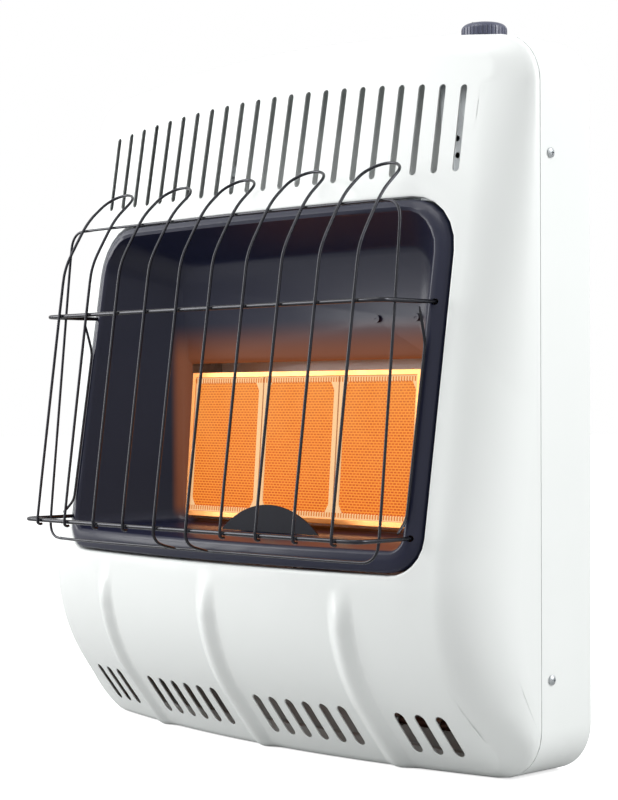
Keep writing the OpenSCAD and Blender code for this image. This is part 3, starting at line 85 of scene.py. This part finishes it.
def finePatterns(tree, surface, grain, height, tones=None, toneSize=60 * mm):
    # Grain as bump, and slow patches of two tones, both in real sizes on Object coordinates
    place = addNode(tree, "TexCoord").outputs["Object"]
    grit = addNode(tree, "TexNoise", {"Vector": place, "Scale": 1 / grain, "Detail": 2.0})
    bump = addNode(tree, "Bump", {"Height": grit.outputs["Fac"], "Distance": height, "Strength": 0.6})
    tree.links.new(bump.outputs["Normal"], surface.inputs["Normal"])
    if tones:
        patches = addNode(tree, "TexNoise", {"Vector": place, "Scale": 1 / toneSize, "Detail": 3.0})
        mix = addNode(tree, "MixRGB", {"Fac": patches.outputs["Fac"], "Color1": linear(tones[0]),
                                       "Color2": linear(tones[1])})
        tree.links.new(mix.outputs["Color"], surface.inputs["Base Color"])
    return place


# White powder coat: baked polyester on sheet steel, smooth gloss with a faint orange peel
def powderCoat():
    material, tree, surface = startMaterial("powderCoat", {
        "Roughness": 0.42, "Specular IOR Level": 0.3, "Coat Weight": 0.25, "Coat Roughness": 0.16})
    finePatterns(tree, surface, 2.2 * mm, 0.012 * mm, ("#EEF1F0", "#EAEEEC"), 90 * mm)
    return material


# Vitreous enamel on the firebox: blue-black glass fused to steel, with a painted brown tone and a painted
# orange glow on the back wall over the burner, standing for the plaques' light
def fireboxEnamel():
    # Where the painted plaque light lies: over the burner, near the back wall, clear of the floor
    plaqueLight = {"top": 376 * mm, "full": 338 * mm, "front": -38 * mm, "back": -31 * mm,
            "foot": 188 * mm, "low": 206 * mm}
    material, tree, surface = startMaterial("fireboxEnamel", {
        "Roughness": 0.4, "Specular IOR Level": 0.25, "Coat Weight": 0.25, "Coat Roughness": 0.2,
        "Emission Strength": 0.12})
    place = finePatterns(tree, surface, 0.9 * mm, 0.02 * mm)
    where = addNode(tree, "SeparateXYZ", {"Vector": place})
    high = addNode(tree, "MapRange", {"Value": where.outputs["Z"], "From Min": plaqueLight["top"],
                                      "From Max": plaqueLight["full"]}, interpolation_type="SMOOTHSTEP")
    deep = addNode(tree, "MapRange", {"Value": where.outputs["Y"], "From Min": plaqueLight["front"],
                                      "From Max": plaqueLight["back"]}, interpolation_type="SMOOTHSTEP")
    offFloor = addNode(tree, "MapRange", {"Value": where.outputs["Z"], "From Min": plaqueLight["foot"],
                                          "From Max": plaqueLight["low"]}, interpolation_type="SMOOTHSTEP")
    wall = addNode(tree, "Math", {0: high.outputs["Result"], 1: deep.outputs["Result"]},
                   operation="MULTIPLY")
    paintedGlowMask = addNode(tree, "Math", {0: wall.outputs[0], 1: offFloor.outputs["Result"]},
                     operation="MULTIPLY")
    # Painted light: the back wall over the burner turns brown and glows orange, standing for the light of
    # the plaques
    tone = addNode(tree, "MixRGB", {"Fac": paintedGlowMask.outputs[0], "Color1": linear("#11152E"),
                                    "Color2": linear("#74432C")})
    paintedGlow = addNode(tree, "MixRGB", {"Fac": paintedGlowMask.outputs[0], "Color1": (0, 0, 0, 1),
                                     "Color2": linear("#C4682E")})
    tree.links.new(paintedGlow.outputs["Color"], surface.inputs["Emission Color"])
    tree.links.new(tone.outputs["Color"], surface.inputs["Base Color"])
    return material


# Nickel-black plated spring wire: dark, with a clear grey gleam along it
def platedWire():
    material, tree, surface = startMaterial("platedWire", {
        "Metallic": 0.6, "Roughness": 0.25, "Coat Weight": 0.2, "Coat Roughness": 0.15})
    finePatterns(tree, surface, 1.2 * mm, 0.008 * mm, ("#20212A", "#18191F"), 14 * mm)
    return material


# Cordierite plaque at full heat: a staggered field of fine holes, brighter webs between them.
# Real holes are 1.2 mm apart: drawn two to three times as coarse, so that they show
def glowingCeramic():
    hole = {"pitch": 4.2 * mm, "row": 2.4 * mm, "web": 0.55 * mm, "low": -60 * mm, "high": 60 * mm}
    material, tree, surface = startMaterial("glowingCeramic", {"Roughness": 0.9, "Emission Strength": 0.78})
    place = addNode(tree, "UVMap", uv_map="plaqueMetres").outputs["UV"]
    holes = addNode(tree, "TexBrick", {
        "Vector": place, "Color1": linear("#E26206"), "Color2": linear("#D25402"),
        "Mortar": linear("#FF9A30"), "Scale": 1.0, "Mortar Size": hole["web"], "Mortar Smooth": 0.3,
        "Brick Width": hole["pitch"], "Row Height": hole["row"]}, offset=0.5)
    height = addNode(tree, "SeparateXYZ", {"Vector": place})
    rise = addNode(tree, "MapRange", {"Value": height.outputs["Y"], "From Min": hole["low"],
                                      "From Max": hole["high"], "To Min": 0.0, "To Max": 0.36})
    patches = addNode(tree, "TexNoise", {"Vector": place, "Scale": 1 / (45 * mm), "Detail": 2.0})
    paler = addNode(tree, "Math", {0: rise.outputs["Result"], 1: patches.outputs["Fac"]},
                    operation="MULTIPLY")
    tone = addNode(tree, "MixRGB", {"Fac": paler.outputs[0], "Color1": holes.outputs["Color"],
                                    "Color2": linear("#FFC06A")})
    dull = addNode(tree, "MixRGB", {"Fac": 0.8, "Color1": tone.outputs["Color"],
                                    "Color2": linear("#3A1404")})
    bump = addNode(tree, "Bump", {"Height": holes.outputs["Fac"], "Distance": 0.4 * mm, "Strength": 0.5})
    tree.links.new(tone.outputs["Color"], surface.inputs["Emission Color"])
    tree.links.new(dull.outputs["Color"], surface.inputs["Base Color"])
    tree.links.new(bump.outputs["Normal"], surface.inputs["Normal"])
    return material


# The unheated edge of each plaque: pale ceramic with a painted pale glow, and one row of open slots along
# its top and base that glow orange
def paleCeramic():
    slots = {"pitch": 3.2 * mm, "gap": 1.5 * mm, "from": 57 * mm, "to": 61 * mm}
    # Painted light: the unheated rim still emits a pale peach glow, standing for the plaques' light on it
    material, tree, surface = startMaterial("paleCeramic", {"Roughness": 0.85, "Emission Strength": 0.6})
    place = addNode(tree, "UVMap", uv_map="plaqueMetres").outputs["UV"]
    across = addNode(tree, "SeparateXYZ", {"Vector": place})
    row = addNode(tree, "Math", {0: across.outputs["X"], 1: slots["pitch"] / 2}, operation="PINGPONG")
    gap = addNode(tree, "Math", {0: row.outputs[0], 1: slots["gap"] / 2}, operation="LESS_THAN")
    height = addNode(tree, "Math", {0: across.outputs["Y"]}, operation="ABSOLUTE")
    above = addNode(tree, "Math", {0: height.outputs[0], 1: slots["from"]}, operation="GREATER_THAN")
    under = addNode(tree, "Math", {0: height.outputs[0], 1: slots["to"]}, operation="LESS_THAN")
    band = addNode(tree, "Math", {0: above.outputs[0], 1: under.outputs[0]}, operation="MULTIPLY")
    cut = addNode(tree, "Math", {0: gap.outputs[0], 1: band.outputs[0]}, operation="MULTIPLY")
    tone = addNode(tree, "MixRGB", {"Fac": cut.outputs[0], "Color1": linear("#FFCE96"),
                                    "Color2": linear("#E07A22")})
    dull = addNode(tree, "MixRGB", {"Fac": 0.6, "Color1": tone.outputs["Color"],
                                    "Color2": linear("#3A2416")})
    tree.links.new(tone.outputs["Color"], surface.inputs["Emission Color"])
    tree.links.new(dull.outputs["Color"], surface.inputs["Base Color"])
    return material


# Ceramic fibre paper between and behind the plaques: soft, matt, orange-brown in slow patches, with a
# painted orange glow from the plaques' light
def fibrePaper():
    # Painted light: the orange emission stands for the plaques' light on the paper
    material, tree, surface = startMaterial("fibrePaper", {
        "Roughness": 1.0, "Sheen Weight": 0.3,
        "Emission Color": linear("#B0602C"), "Emission Strength": 0.25})
    finePatterns(tree, surface, 0.5 * mm, 0.08 * mm, ("#B97A4C", "#8A4F2C"), 9 * mm)
    return material


# Aluminised steel of the burner: satin sheet, with painted orange light from the plaques in its tones and a
# painted glow
def orangeLitSteel():
    # Painted light: orange tones and an orange glow stand for the light of the plaques falling on the steel
    material, tree, surface = startMaterial("orangeLitSteel", {
        "Metallic": 0.85, "Roughness": 0.34,
        "Emission Color": linear("#E07A22"), "Emission Strength": 0.22})
    finePatterns(tree, surface, 0.7 * mm, 0.015 * mm, ("#F2B070", "#C9763A"), 22 * mm)
    return material


# Hot-dip galvanised sheet: grey zinc with its large flat crystals
def galvanisedSheet():
    material, tree, surface = startMaterial("galvanisedSheet", {"Metallic": 0.9, "Roughness": 0.42})
    place = finePatterns(tree, surface, 1.5 * mm, 0.01 * mm)
    spangle = addNode(tree, "TexVoronoi", {"Vector": place, "Scale": 1 / (9 * mm)})
    grey = addNode(tree, "RGBToBW", {"Color": spangle.outputs["Color"]})
    tone = addNode(tree, "MixRGB", {"Fac": grey.outputs["Val"], "Color1": linear("#A4A9AC"),
                                    "Color2": linear("#C6CACC")})
    tree.links.new(tone.outputs["Color"], surface.inputs["Base Color"])
    return material


# Turned, cast and drawn metals: one finish each, with the grain that its making leaves
def plainMetal(name, tones, roughness, grain, height):
    material, tree, surface = startMaterial(name, {"Metallic": 1.0, "Roughness": roughness})
    finePatterns(tree, surface, grain, height, tones, 18 * mm)
    return material


# Moulded and rubbery pieces: no metal, a fine moulded grain
def moulded(name, tones, roughness, grain, height, coat=0.0):
    material, tree, surface = startMaterial(name, {"Roughness": roughness, "Coat Weight": coat,
                                                   "Coat Roughness": 0.2})
    finePatterns(tree, surface, grain, height, tones, 12 * mm)
    return material


materials = {
    "casing_white": powderCoat(),
    "firebox_enamel": fireboxEnamel(),
    "guard_wire": platedWire(),
    "glowing_ceramic": glowingCeramic(),
    "fibre_seal": fibrePaper(),
    "burner_steel": orangeLitSteel(),
    "galvanised": galvanisedSheet(),
    # Free-cutting brass, turned: warm yellow with a bright, close grain
    "brass": plainMetal("machinedBrass", ("#D2B06A", "#C09A55"), 0.28, 0.6 * mm, 0.01 * mm),
    # Die-cast aluminium: grey and dull, with the mould's coarse skin
    "die_cast": plainMetal("dieCastAluminium", ("#B9BCBF", "#A6AAAE"), 0.5, 1.1 * mm, 0.06 * mm),
    # Drawn aluminium tube: pale and satin
    "gas_tube": plainMetal("drawnAluminium", ("#C9CCCF", "#B7BBBF"), 0.32, 0.8 * mm, 0.01 * mm),
    # Turned steel: darker grey, with the fine grain of the tool
    "stem_steel": plainMetal("turnedSteel", ("#A9ABAE", "#8F9195"), 0.3, 0.5 * mm, 0.01 * mm),
    # Drawn copper, browned by heat and air
    "copper": plainMetal("drawnCopper", ("#6E5044", "#573E35"), 0.5, 0.7 * mm, 0.01 * mm),
    # Nylon, moulded: black and half matt
    "black_nylon": moulded("blackNylon", ("#1A1B20", "#141519"), 0.55, 0.8 * mm, 0.02 * mm),
    # Phenolic, pressed: slate blue with a soft shine on the flutes
    "knob_plastic": moulded("knobPhenolic", ("#474B60", "#3F4358"), 0.4, 0.8 * mm, 0.015 * mm, 0.2),
    # Glazed steatite: ivory, with a glassy surface
    "white_ceramic": moulded("glazedCeramic", ("#EFEBDD", "#E6E1D2"), 0.22, 1.0 * mm, 0.01 * mm, 0.4),
    # Silicone rubber on the spark lead: brick red and matt
    "lead_rubber": moulded("siliconeLead", ("#A23026", "#8C281F"), 0.6, 0.9 * mm, 0.02 * mm),
}
paleEdge = paleCeramic()
# A painted-shade copy of the enamel for the shield's front, which no plaque lights: near black and duller
shadedShieldEnamel = moulded("shadedShieldEnamel", ("#0D0F1D", "#0A0C17"), 0.55, 0.9 * mm, 0.02 * mm)
shadedShieldEnamel.node_tree.nodes["Principled BSDF"].inputs["Specular IOR Level"].default_value = 0.2
print("materials made:", len(materials) + 2)

# Every carried-over CAD node gets its slot's finish
slotOf = {entry["node"]: entry["material_slot"] for entry in frame["record"]["subparts"]}
for name, node in frame["nodes"].items():
    if not node.material_slots:
        node.data.materials.append(materials[slotOf[name]])
    for place in node.material_slots:
        place.material = materials[slotOf[name]]
print("nodes dressed:", len(slotOf))


def addPiece(name, mesh, slotName, body, nodes=()):
    data = bpy.data.meshes.new(name)
    mesh.to_mesh(data)
    mesh.free()
    piece = bpy.data.objects.new(name, data)
    bpy.context.scene.collection.objects.link(piece)
    data.materials.append(materials[slotName])
    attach(piece, body)
    if nodes:
        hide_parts(*nodes)
    return piece


def markSharp(mesh, degrees):
    for face in mesh.faces:
        face.smooth = True
    for edge in mesh.edges:
        edge.smooth = len(edge.link_faces) == 2 and edge.calc_face_angle(0) < math.radians(degrees)


def meshOf(node):  # a merged copy of a CAD node's mesh
    mesh = bmesh.new()
    mesh.from_mesh(frame["nodes"][node].data)
    bmesh.ops.remove_doubles(mesh, verts=mesh.verts, dist=0.005 * mm)
    return mesh


def addBevel(piece, width, segments, degrees):
    bevel = piece.modifiers.new("softEdges", "BEVEL")
    bevel.width = width
    bevel.segments = segments
    bevel.limit_method = "ANGLE"
    bevel.angle_limit = math.radians(degrees)
    bevel.harden_normals = True


# Cover: the CAD's own sheet, cut finer and laid on the smooth face that it was pressed to, in millimetres
pressed = {
    "width": 556, "height": 610, "cornerR": 42, "archR": 1890,
    "crownY": -60, "lean": math.radians(10.1), "noseZ": 170, "noseR": 152, "tuck": math.radians(38),
    "bowLow": 41, "bowHigh": 20,
    "ribPitch": 151.6, "ribHalf": 14, "ribRise": 6, "ribTop": 158, "ribFull": 118,
    "sideIn": 42, "sideDeep": 46, "topIn": 20, "footIn": 6, "hemY": -33, "hemShare": 0.9,
    "mouthX": 225.4, "mouthLow": 164.6, "mouthHigh": 466.4, "lip": 6,
    "longest": 9, "cutRounds": 6, "sharp": 50, "slack": 0.9, "mouthSlack": 0.25, "rim": 1, "facing": 0.8,
}
pressed["cornerX"] = pressed["width"] / 2 - pressed["cornerR"]
pressed["archZ"] = pressed["height"] - pressed["archR"]
pressed["cornerZ"] = pressed["archZ"] + math.sqrt(
    (pressed["archR"] - pressed["cornerR"]) ** 2 - pressed["cornerX"] ** 2)


def faceDepth(x, z):  # how far back the face stands: a lean, a round nose, a tuck, a bow and three ribs
    lean, tuck, radius = pressed["lean"], pressed["tuck"], pressed["noseR"]
    noseY = pressed["crownY"] - (pressed["height"] - pressed["noseZ"]) * math.tan(lean)
    noseY += radius * math.cos(lean)
    noseZ = pressed["noseZ"] - radius * math.sin(lean)
    tuckZ = noseZ - radius * math.sin(tuck)
    if z > pressed["noseZ"]:
        depth = pressed["crownY"] - (pressed["height"] - z) * math.tan(lean)
    elif z > tuckZ:
        depth = noseY - math.sqrt(radius ** 2 - (z - noseZ) ** 2)
    else:
        depth = noseY - radius * math.cos(tuck) + (tuckZ - z) * math.tan(tuck)
    rise = max(0, min(1, (pressed["ribTop"] - z) / (pressed["ribTop"] - pressed["ribFull"])))
    off = min(abs(x - k * pressed["ribPitch"]) for k in (-1, 0, 1))
    crest = (1 + math.cos(math.pi * off / pressed["ribHalf"])) / 2 if off < pressed["ribHalf"] else 0
    bow = pressed["bowLow"] + (pressed["bowHigh"] - pressed["bowLow"]) * z / pressed["height"]
    rib = pressed["ribRise"] * rise * rise * (3 - 2 * rise) * crest
    return depth + bow * (2 * x / pressed["width"]) ** 2 - rib


def edgeReach(x, z):  # how far in from the outline, and which way is out
    x = abs(x)
    if x > pressed["cornerX"] and pressed["cornerR"] < z < pressed["cornerZ"]:
        return pressed["width"] / 2 - x, 1, 0
    if x > pressed["cornerX"]:
        cornerZ = pressed["cornerZ"] if z > pressed["cornerR"] else pressed["cornerR"]
        out = Vector((x - pressed["cornerX"], z - cornerZ))
        reach = pressed["cornerR"] - out.length
    elif z > pressed["height"] / 2:
        out = Vector((x, z - pressed["archZ"]))
        reach = pressed["archR"] - out.length
    else:
        return z, 0, -1
    out.normalize()
    return reach, out.x, out.y


def skinDepth(x, z):  # the face with the rounding of its edges, whose width and depth follow the way out
    reach, outX, outZ = edgeReach(x, z)
    ends = pressed["topIn"] if outZ > 0 else pressed["footIn"]
    wide = pressed["sideIn"] * outX ** 2 + ends * outZ ** 2
    deep = pressed["sideDeep"] * outX ** 2 + ends * outZ ** 2
    depth = faceDepth(x, z)
    turned = min(1, max(0, 1 - reach / wide))
    deep = min(deep, pressed["hemShare"] * (pressed["hemY"] - depth))
    return depth + deep * (1 - math.sqrt(1 - turned ** 2))


def onSkin(vert):  # on the cover's outer side, and clear of its rim and of the mouth's rolled lip
    x, y, z = vert.co / mm
    byMouth = abs(x) < pressed["mouthX"] + pressed["lip"] and (
        pressed["mouthLow"] - pressed["lip"] < z < pressed["mouthHigh"] + pressed["lip"])
    slack = pressed["mouthSlack"] if byMouth else pressed["slack"]
    return abs(y - skinDepth(x, z)) < slack and edgeReach(x, z)[0] > pressed["rim"]


def skinNormal(x, z):
    step = 0.4
    return Vector(((skinDepth(x + step, z) - skinDepth(x - step, z)) / (2 * step), -1,
                   (skinDepth(x, z + step) - skinDepth(x, z - step)) / (2 * step))).normalized()


mesh = meshOf("front_cover")
for cutRound in range(pressed["cutRounds"]):
    skin = {vert for vert in mesh.verts if onSkin(vert)}
    long = [edge for edge in mesh.edges if edge.verts[0] in skin and edge.verts[1] in skin
            and edge.calc_length() > pressed["longest"] * mm]
    if not long:
        break
    cut = bmesh.ops.subdivide_edges(mesh, edges=long, cuts=1)
    for vert in (part for part in cut["geom_inner"] if isinstance(part, bmesh.types.BMVert)):
        vert.co.y = skinDepth(vert.co.x / mm, vert.co.z / mm) * mm
    bmesh.ops.triangulate(mesh, faces=[side for side in mesh.faces if len(side.verts) > 3])
markSharp(mesh, pressed["sharp"])
mesh.normal_update()
coverShell = addPiece("coverShell", mesh, "casing_white", heater, ["front_cover"])
cover = coverShell.data
normals = [corner.vector.copy() for corner in cover.corner_normals]
skinNormals = {vert.index: skinNormal(vert.co.x / mm, vert.co.z / mm)
               for vert in cover.vertices if onSkin(vert)}
for polygon in cover.polygons:
    for corner in polygon.loop_indices:
        smooth = skinNormals.get(cover.loops[corner].vertex_index)
        if smooth and smooth.dot(polygon.normal) > pressed["facing"]:
            normals[corner] = smooth
cover.normals_split_custom_set(normals)
print("cover faces:", len(cover.polygons))


# Sheet pieces: the CAD's own shapes, with smooth skins and, on some, softened edges
sheets = {
    "casingShell": {"node": "rear_casing", "sharp": 30, "bevel": 0.9 * mm},
    "fireboxLiner": {"node": "firebox_pan", "sharp": 52, "bevel": 0},
    "burnerBezel": {"node": "burner_frame", "sharp": 30, "bevel": 0.7 * mm},
    "shieldPlate": {"node": "pilot_shield", "sharp": 30, "bevel": 0},
    "sideScrewHeads": {"node": "side_screws", "sharp": 40, "bevel": 0.2 * mm},
    "linerScrewHeads": {"node": "pan_screws", "sharp": 40, "bevel": 0.2 * mm},
}
flat = math.radians(0.2)
for name, sheet in sheets.items():
    mesh = meshOf(sheet["node"])
    bmesh.ops.dissolve_limit(mesh, angle_limit=flat, verts=mesh.verts, edges=mesh.edges)
    markSharp(mesh, sheet["sharp"])
    piece = addPiece(name, mesh, slotOf[sheet["node"]], heater, [sheet["node"]])
    if sheet["bevel"]:
        addBevel(piece, sheet["bevel"], 3, 40)
    if name == "shieldPlate":  # painted shade: it faces away from the plaques, so it gets the darker copy of the enamel
        piece.data.materials[0] = shadedShieldEnamel
print("sheet pieces:", len(sheets))

# Round wires and tubes: quads again, then one level of subdivision over a slightly fuller tube
rounds = {
    "hairpin_1": "guardHairpin1", "hairpin_2": "guardHairpin2", "hairpin_3": "guardHairpin3",
    "hairpin_4": "guardHairpin4", "hairpin_5": "guardHairpin5", "upper_bar": "guardUpperBar",
    "lower_bar": "guardLowerBar", "guard_ring": "guardRing", "guard_side_wires": "guardSideWires",
    "supply_tube": "burnerFeedTube", "inlet_tube": "valveFeedTube", "pilot_tube": "pilotFeedTube",
    "thermocouple_lead": "thermocoupleWire", "igniter_lead": "sparkLead", "capillary_tube": "bulbCapillary",
    "stem_spring": "knobReturnSpring",
}
swell = {"guard_wire": 0.06 * mm, "gas_tube": 0.12 * mm, "other": 0.08 * mm}
for node, name in rounds.items():
    mesh = meshOf(node)
    bmesh.ops.join_triangles(mesh, faces=mesh.faces, angle_face_threshold=math.radians(40),
                             angle_shape_threshold=math.radians(60))
    mesh.normal_update()
    push = swell.get(slotOf[node], swell["other"])
    for vert in mesh.verts:
        vert.co += vert.normal * push
    markSharp(mesh, 60)
    piece = addPiece(name, mesh, slotOf[node], heater, [node])
    rounder = piece.modifiers.new("rounder", "SUBSURF")
    rounder.levels = rounder.render_levels = 1

# The return spring gets a mesh of its own, and its CAD box is read
low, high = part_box("stem_spring")
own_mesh(bpy.data.objects["knobReturnSpring"])
print("round pieces:", len(rounds))

# Plaques: a pale rim with cut corners round a sunk field of holes
plaque = {"thick": 13 * mm, "lean": math.radians(4.5), "rimX": 5 * mm, "rimZ": 7.8 * mm,
          "cornerX": 4.5 * mm, "cornerZ": 7.5 * mm, "sink": 0.7 * mm, "sinkWidth": 0.8 * mm}
turn = Matrix.Rotation(-plaque["lean"], 4, "X")
for node, name in {"plaque_left": "plaqueLeft", "plaque_middle": "plaqueMiddle",
                   "plaque_right": "plaqueRight"}.items():
    low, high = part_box(node)
    size = high - low
    tall = (size.z - plaque["thick"] * math.sin(plaque["lean"])) / math.cos(plaque["lean"])
    middle = (low + high) / 2
    mesh = bmesh.new()
    bmesh.ops.create_cube(mesh, size=1)
    bmesh.ops.scale(mesh, vec=(size.x, plaque["thick"], tall), verts=mesh.verts)
    front = min(mesh.faces, key=lambda face: face.calc_center_median().y)
    bmesh.ops.inset_region(mesh, faces=[front], thickness=plaque["rimX"], use_even_offset=True)
    for vert in front.verts:
        vert.co.z = math.copysign(tall / 2 - plaque["rimZ"], vert.co.z)
    cut = bmesh.ops.bevel(mesh, geom=list(front.verts), offset=plaque["cornerX"], segments=1, profile=0.5,
                          affect="VERTICES", material=-1)
    innerX = size.x / 2 - plaque["rimX"]
    for vert in {v for face in cut["faces"] for v in face.verts}:
        if abs(abs(vert.co.x) - innerX) < 0.1 * mm:
            vert.co.z = math.copysign(tall / 2 - plaque["rimZ"] - plaque["cornerZ"], vert.co.z)
    field = max((face for face in mesh.faces if face.normal.y < -0.9), key=lambda face: face.calc_area())
    bmesh.ops.inset_region(mesh, faces=[field], thickness=plaque["sinkWidth"], depth=-plaque["sink"])
    places = mesh.loops.layers.uv.new("plaqueMetres")
    for face in mesh.faces:
        face.material_index = 0 if face == field else 1
        for loop in face.loops:
            loop[places].uv = (loop.vert.co.x, loop.vert.co.z)
    bmesh.ops.transform(mesh, matrix=Matrix.Translation(middle) @ turn, verts=mesh.verts)
    piece = addPiece(name, mesh, "glowing_ceramic", heater, [node])
    piece.data.materials.append(paleEdge)
print("plaques: 3")

# Knob: the fluted body from the CAD with its edges broken, its top let in a hair for a white mark
knob = {"markLength": 9 * mm, "markWidth": 1.6 * mm, "markRise": 0.15 * mm, "markIn": 8.6 * mm}
mesh = meshOf("control_knob")
low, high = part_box("control_knob")
for vert in mesh.verts:
    if vert.co.z > high.z - 0.01 * mm:
        vert.co.z -= knob["markRise"]
markSharp(mesh, 40)
knobBody = addPiece("flutedKnob", mesh, "knob_plastic", "knob", ["control_knob"])
addBevel(knobBody, 0.25 * mm, 2, 50)
mesh = bmesh.new()
bmesh.ops.create_cube(mesh, size=1)
bmesh.ops.scale(mesh, vec=(knob["markWidth"], knob["markLength"], 2 * knob["markRise"]), verts=mesh.verts)
bmesh.ops.translate(mesh, vec=((low.x + high.x) / 2, low.y + knob["markIn"], high.z - knob["markRise"]),
                    verts=mesh.verts)
knobMark = addPiece("knobMark", mesh, "casing_white", "knob")
addBevel(knobMark, 0.1 * mm, 2, 40)

# Weld nuggets where the hairpins cross the two bars
guard = {"pitch": 84.5 * mm, "half": 21 * mm, "bow": 3 * mm, "nugget": 2.1 * mm, "sunk": 0.6 * mm,
         "flattened": (1, 0.75, 0.9)}
mesh = bmesh.new()
for bar in ("upper_bar", "lower_bar"):
    low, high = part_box(bar)
    barZ = (low.z + high.z) / 2
    for k in range(-2, 3):
        for side in (-1, 1):
            x = k * guard["pitch"] + side * guard["half"]
            y = low.y + guard["sunk"] + guard["bow"] * (x / (2 * guard["pitch"] + guard["half"])) ** 2
            ball = bmesh.ops.create_icosphere(mesh, subdivisions=2, radius=guard["nugget"])
            bmesh.ops.scale(mesh, vec=guard["flattened"], verts=ball["verts"])
            bmesh.ops.translate(mesh, vec=(x, y, barZ), verts=ball["verts"])
markSharp(mesh, 80)
addPiece("weldNuggets", mesh, "guard_wire", heater)

# Rivets along the top of the burner's bezel
rivet = {"radius": 1.5 * mm, "places": (-0.46, -0.17, 0.17, 0.46), "back": 12.5 * mm, "sunk": 0.3 * mm,
         "flattened": (1, 1, 0.55)}
low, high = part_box("burner_frame")
mesh = bmesh.new()
for share in rivet["places"]:
    ball = bmesh.ops.create_uvsphere(mesh, u_segments=16, v_segments=10, radius=rivet["radius"])
    bmesh.ops.scale(mesh, vec=rivet["flattened"], verts=ball["verts"])
    x = (low.x + high.x) / 2 + share * (high.x - low.x)
    bmesh.ops.translate(mesh, vec=(x, low.y + rivet["back"], high.z - rivet["sunk"]), verts=ball["verts"])
markSharp(mesh, 80)
addPiece("bezelRivets", mesh, "burner_steel", heater)
print("small pieces made")


# Studio: white floor and surroundings, and three large soft lamps
def addLamp(name, place, target, width, height, power):
    lamp = bpy.data.lights.new(name, "AREA")
    lamp.shape = "RECTANGLE"
    lamp.size, lamp.size_y = width, height
    lamp.energy = power
    holder = bpy.data.objects.new(name, lamp)
    bpy.context.scene.collection.objects.link(holder)
    holder.location = place
    holder.rotation_euler = (Vector(target) - Vector(place)).to_track_quat("-Z", "Y").to_euler()


middleOfHeater = (0, -0.05, 0.32)
lamps = {
    "leftSoftbox": {"place": (-2.2, -1.8, 1.2), "width": 1.6, "height": 2.0, "power": 62},
    "rightSoftbox": {"place": (2.3, 1.0, 1.7), "width": 1.0, "height": 1.8, "power": 54},
    "topSoftbox": {"place": (-0.3, -1.2, 2.3), "width": 1.6, "height": 1.2, "power": 22},
}
for name, box in lamps.items():
    addLamp(name, box["place"], middleOfHeater, box["width"], box["height"], box["power"])

# White to the camera and in reflections, and dimmer as a light
room = {"fill": 0.46, "seen": 1.0, "half": 12,
        "paper": "#F4F4F4", "paperBounce": "#C4C4C4", "paperLift": 0.66}
world = bpy.data.worlds.new("whiteRoom")
world.use_nodes = True
bpy.context.scene.world = world
sky = world.node_tree
rays = addNode(sky, "LightPath")
through = addNode(sky, "Math", {0: rays.outputs["Is Camera Ray"], 1: rays.outputs["Is Transmission Ray"]},
                  operation="MAXIMUM")
seen = addNode(sky, "Math", {0: through.outputs[0], 1: rays.outputs["Is Glossy Ray"]}, operation="MAXIMUM")
strength = addNode(sky, "MapRange", {"Value": seen.outputs[0],
                                     "To Min": room["fill"], "To Max": room["seen"]})
sky.links.new(strength.outputs["Result"], sky.nodes["Background"].inputs["Strength"])
sky.nodes["Background"].inputs["Color"].default_value = (1, 1, 1, 1)

floorMesh = bmesh.new()
bmesh.ops.create_grid(floorMesh, x_segments=1, y_segments=1, size=room["half"])
floorData = bpy.data.meshes.new("studioFloor")
floorMesh.to_mesh(floorData)
floorMesh.free()
floor = bpy.data.objects.new("studioFloor", floorData)
bpy.context.scene.collection.objects.link(floor)
paper, paperTree, paperSurface = startMaterial("floorPaper", {"Roughness": 0.9, "Specular IOR Level": 0.1})
paperRays = addNode(paperTree, "LightPath")
paperTone = addNode(paperTree, "MixRGB", {"Fac": paperRays.outputs["Is Camera Ray"],
                                          "Color1": linear(room["paperBounce"]),
                                          "Color2": linear(room["paper"])})
paperTree.links.new(paperTone.outputs["Color"], paperSurface.inputs["Base Color"])
lift = addNode(paperTree, "Math", {0: paperRays.outputs["Is Camera Ray"], 1: room["paperLift"]},
               operation="MULTIPLY")
paperTree.links.new(lift.outputs[0], paperSurface.inputs["Emission Strength"])
paperSurface.inputs["Emission Color"].default_value = (1, 1, 1, 1)
floorData.materials.append(paper)
print("lamps:", len(lamps))

# Camera, solved from the photograph's own edges
view = {"place": (1.2509, -1.2195, 0.3027), "heading": 0.8051, "roll": -0.0026, "lens": 87.32}
lens = bpy.data.cameras.new("photoCamera")
lens.lens = view["lens"]
lens.sensor_width = 36
camera = bpy.data.objects.new("photoCamera", lens)
bpy.context.scene.collection.objects.link(camera)
camera.matrix_world = (Matrix.Translation(view["place"]) @ Matrix.Rotation(view["heading"], 4, "Z")
                       @ Matrix.Rotation(math.pi / 2, 4, "X") @ Matrix.Rotation(view["roll"], 4, "Z"))
bpy.context.scene.camera = camera
bpy.context.scene.view_settings.view_transform = "Standard"

bpy.context.view_layer.update()
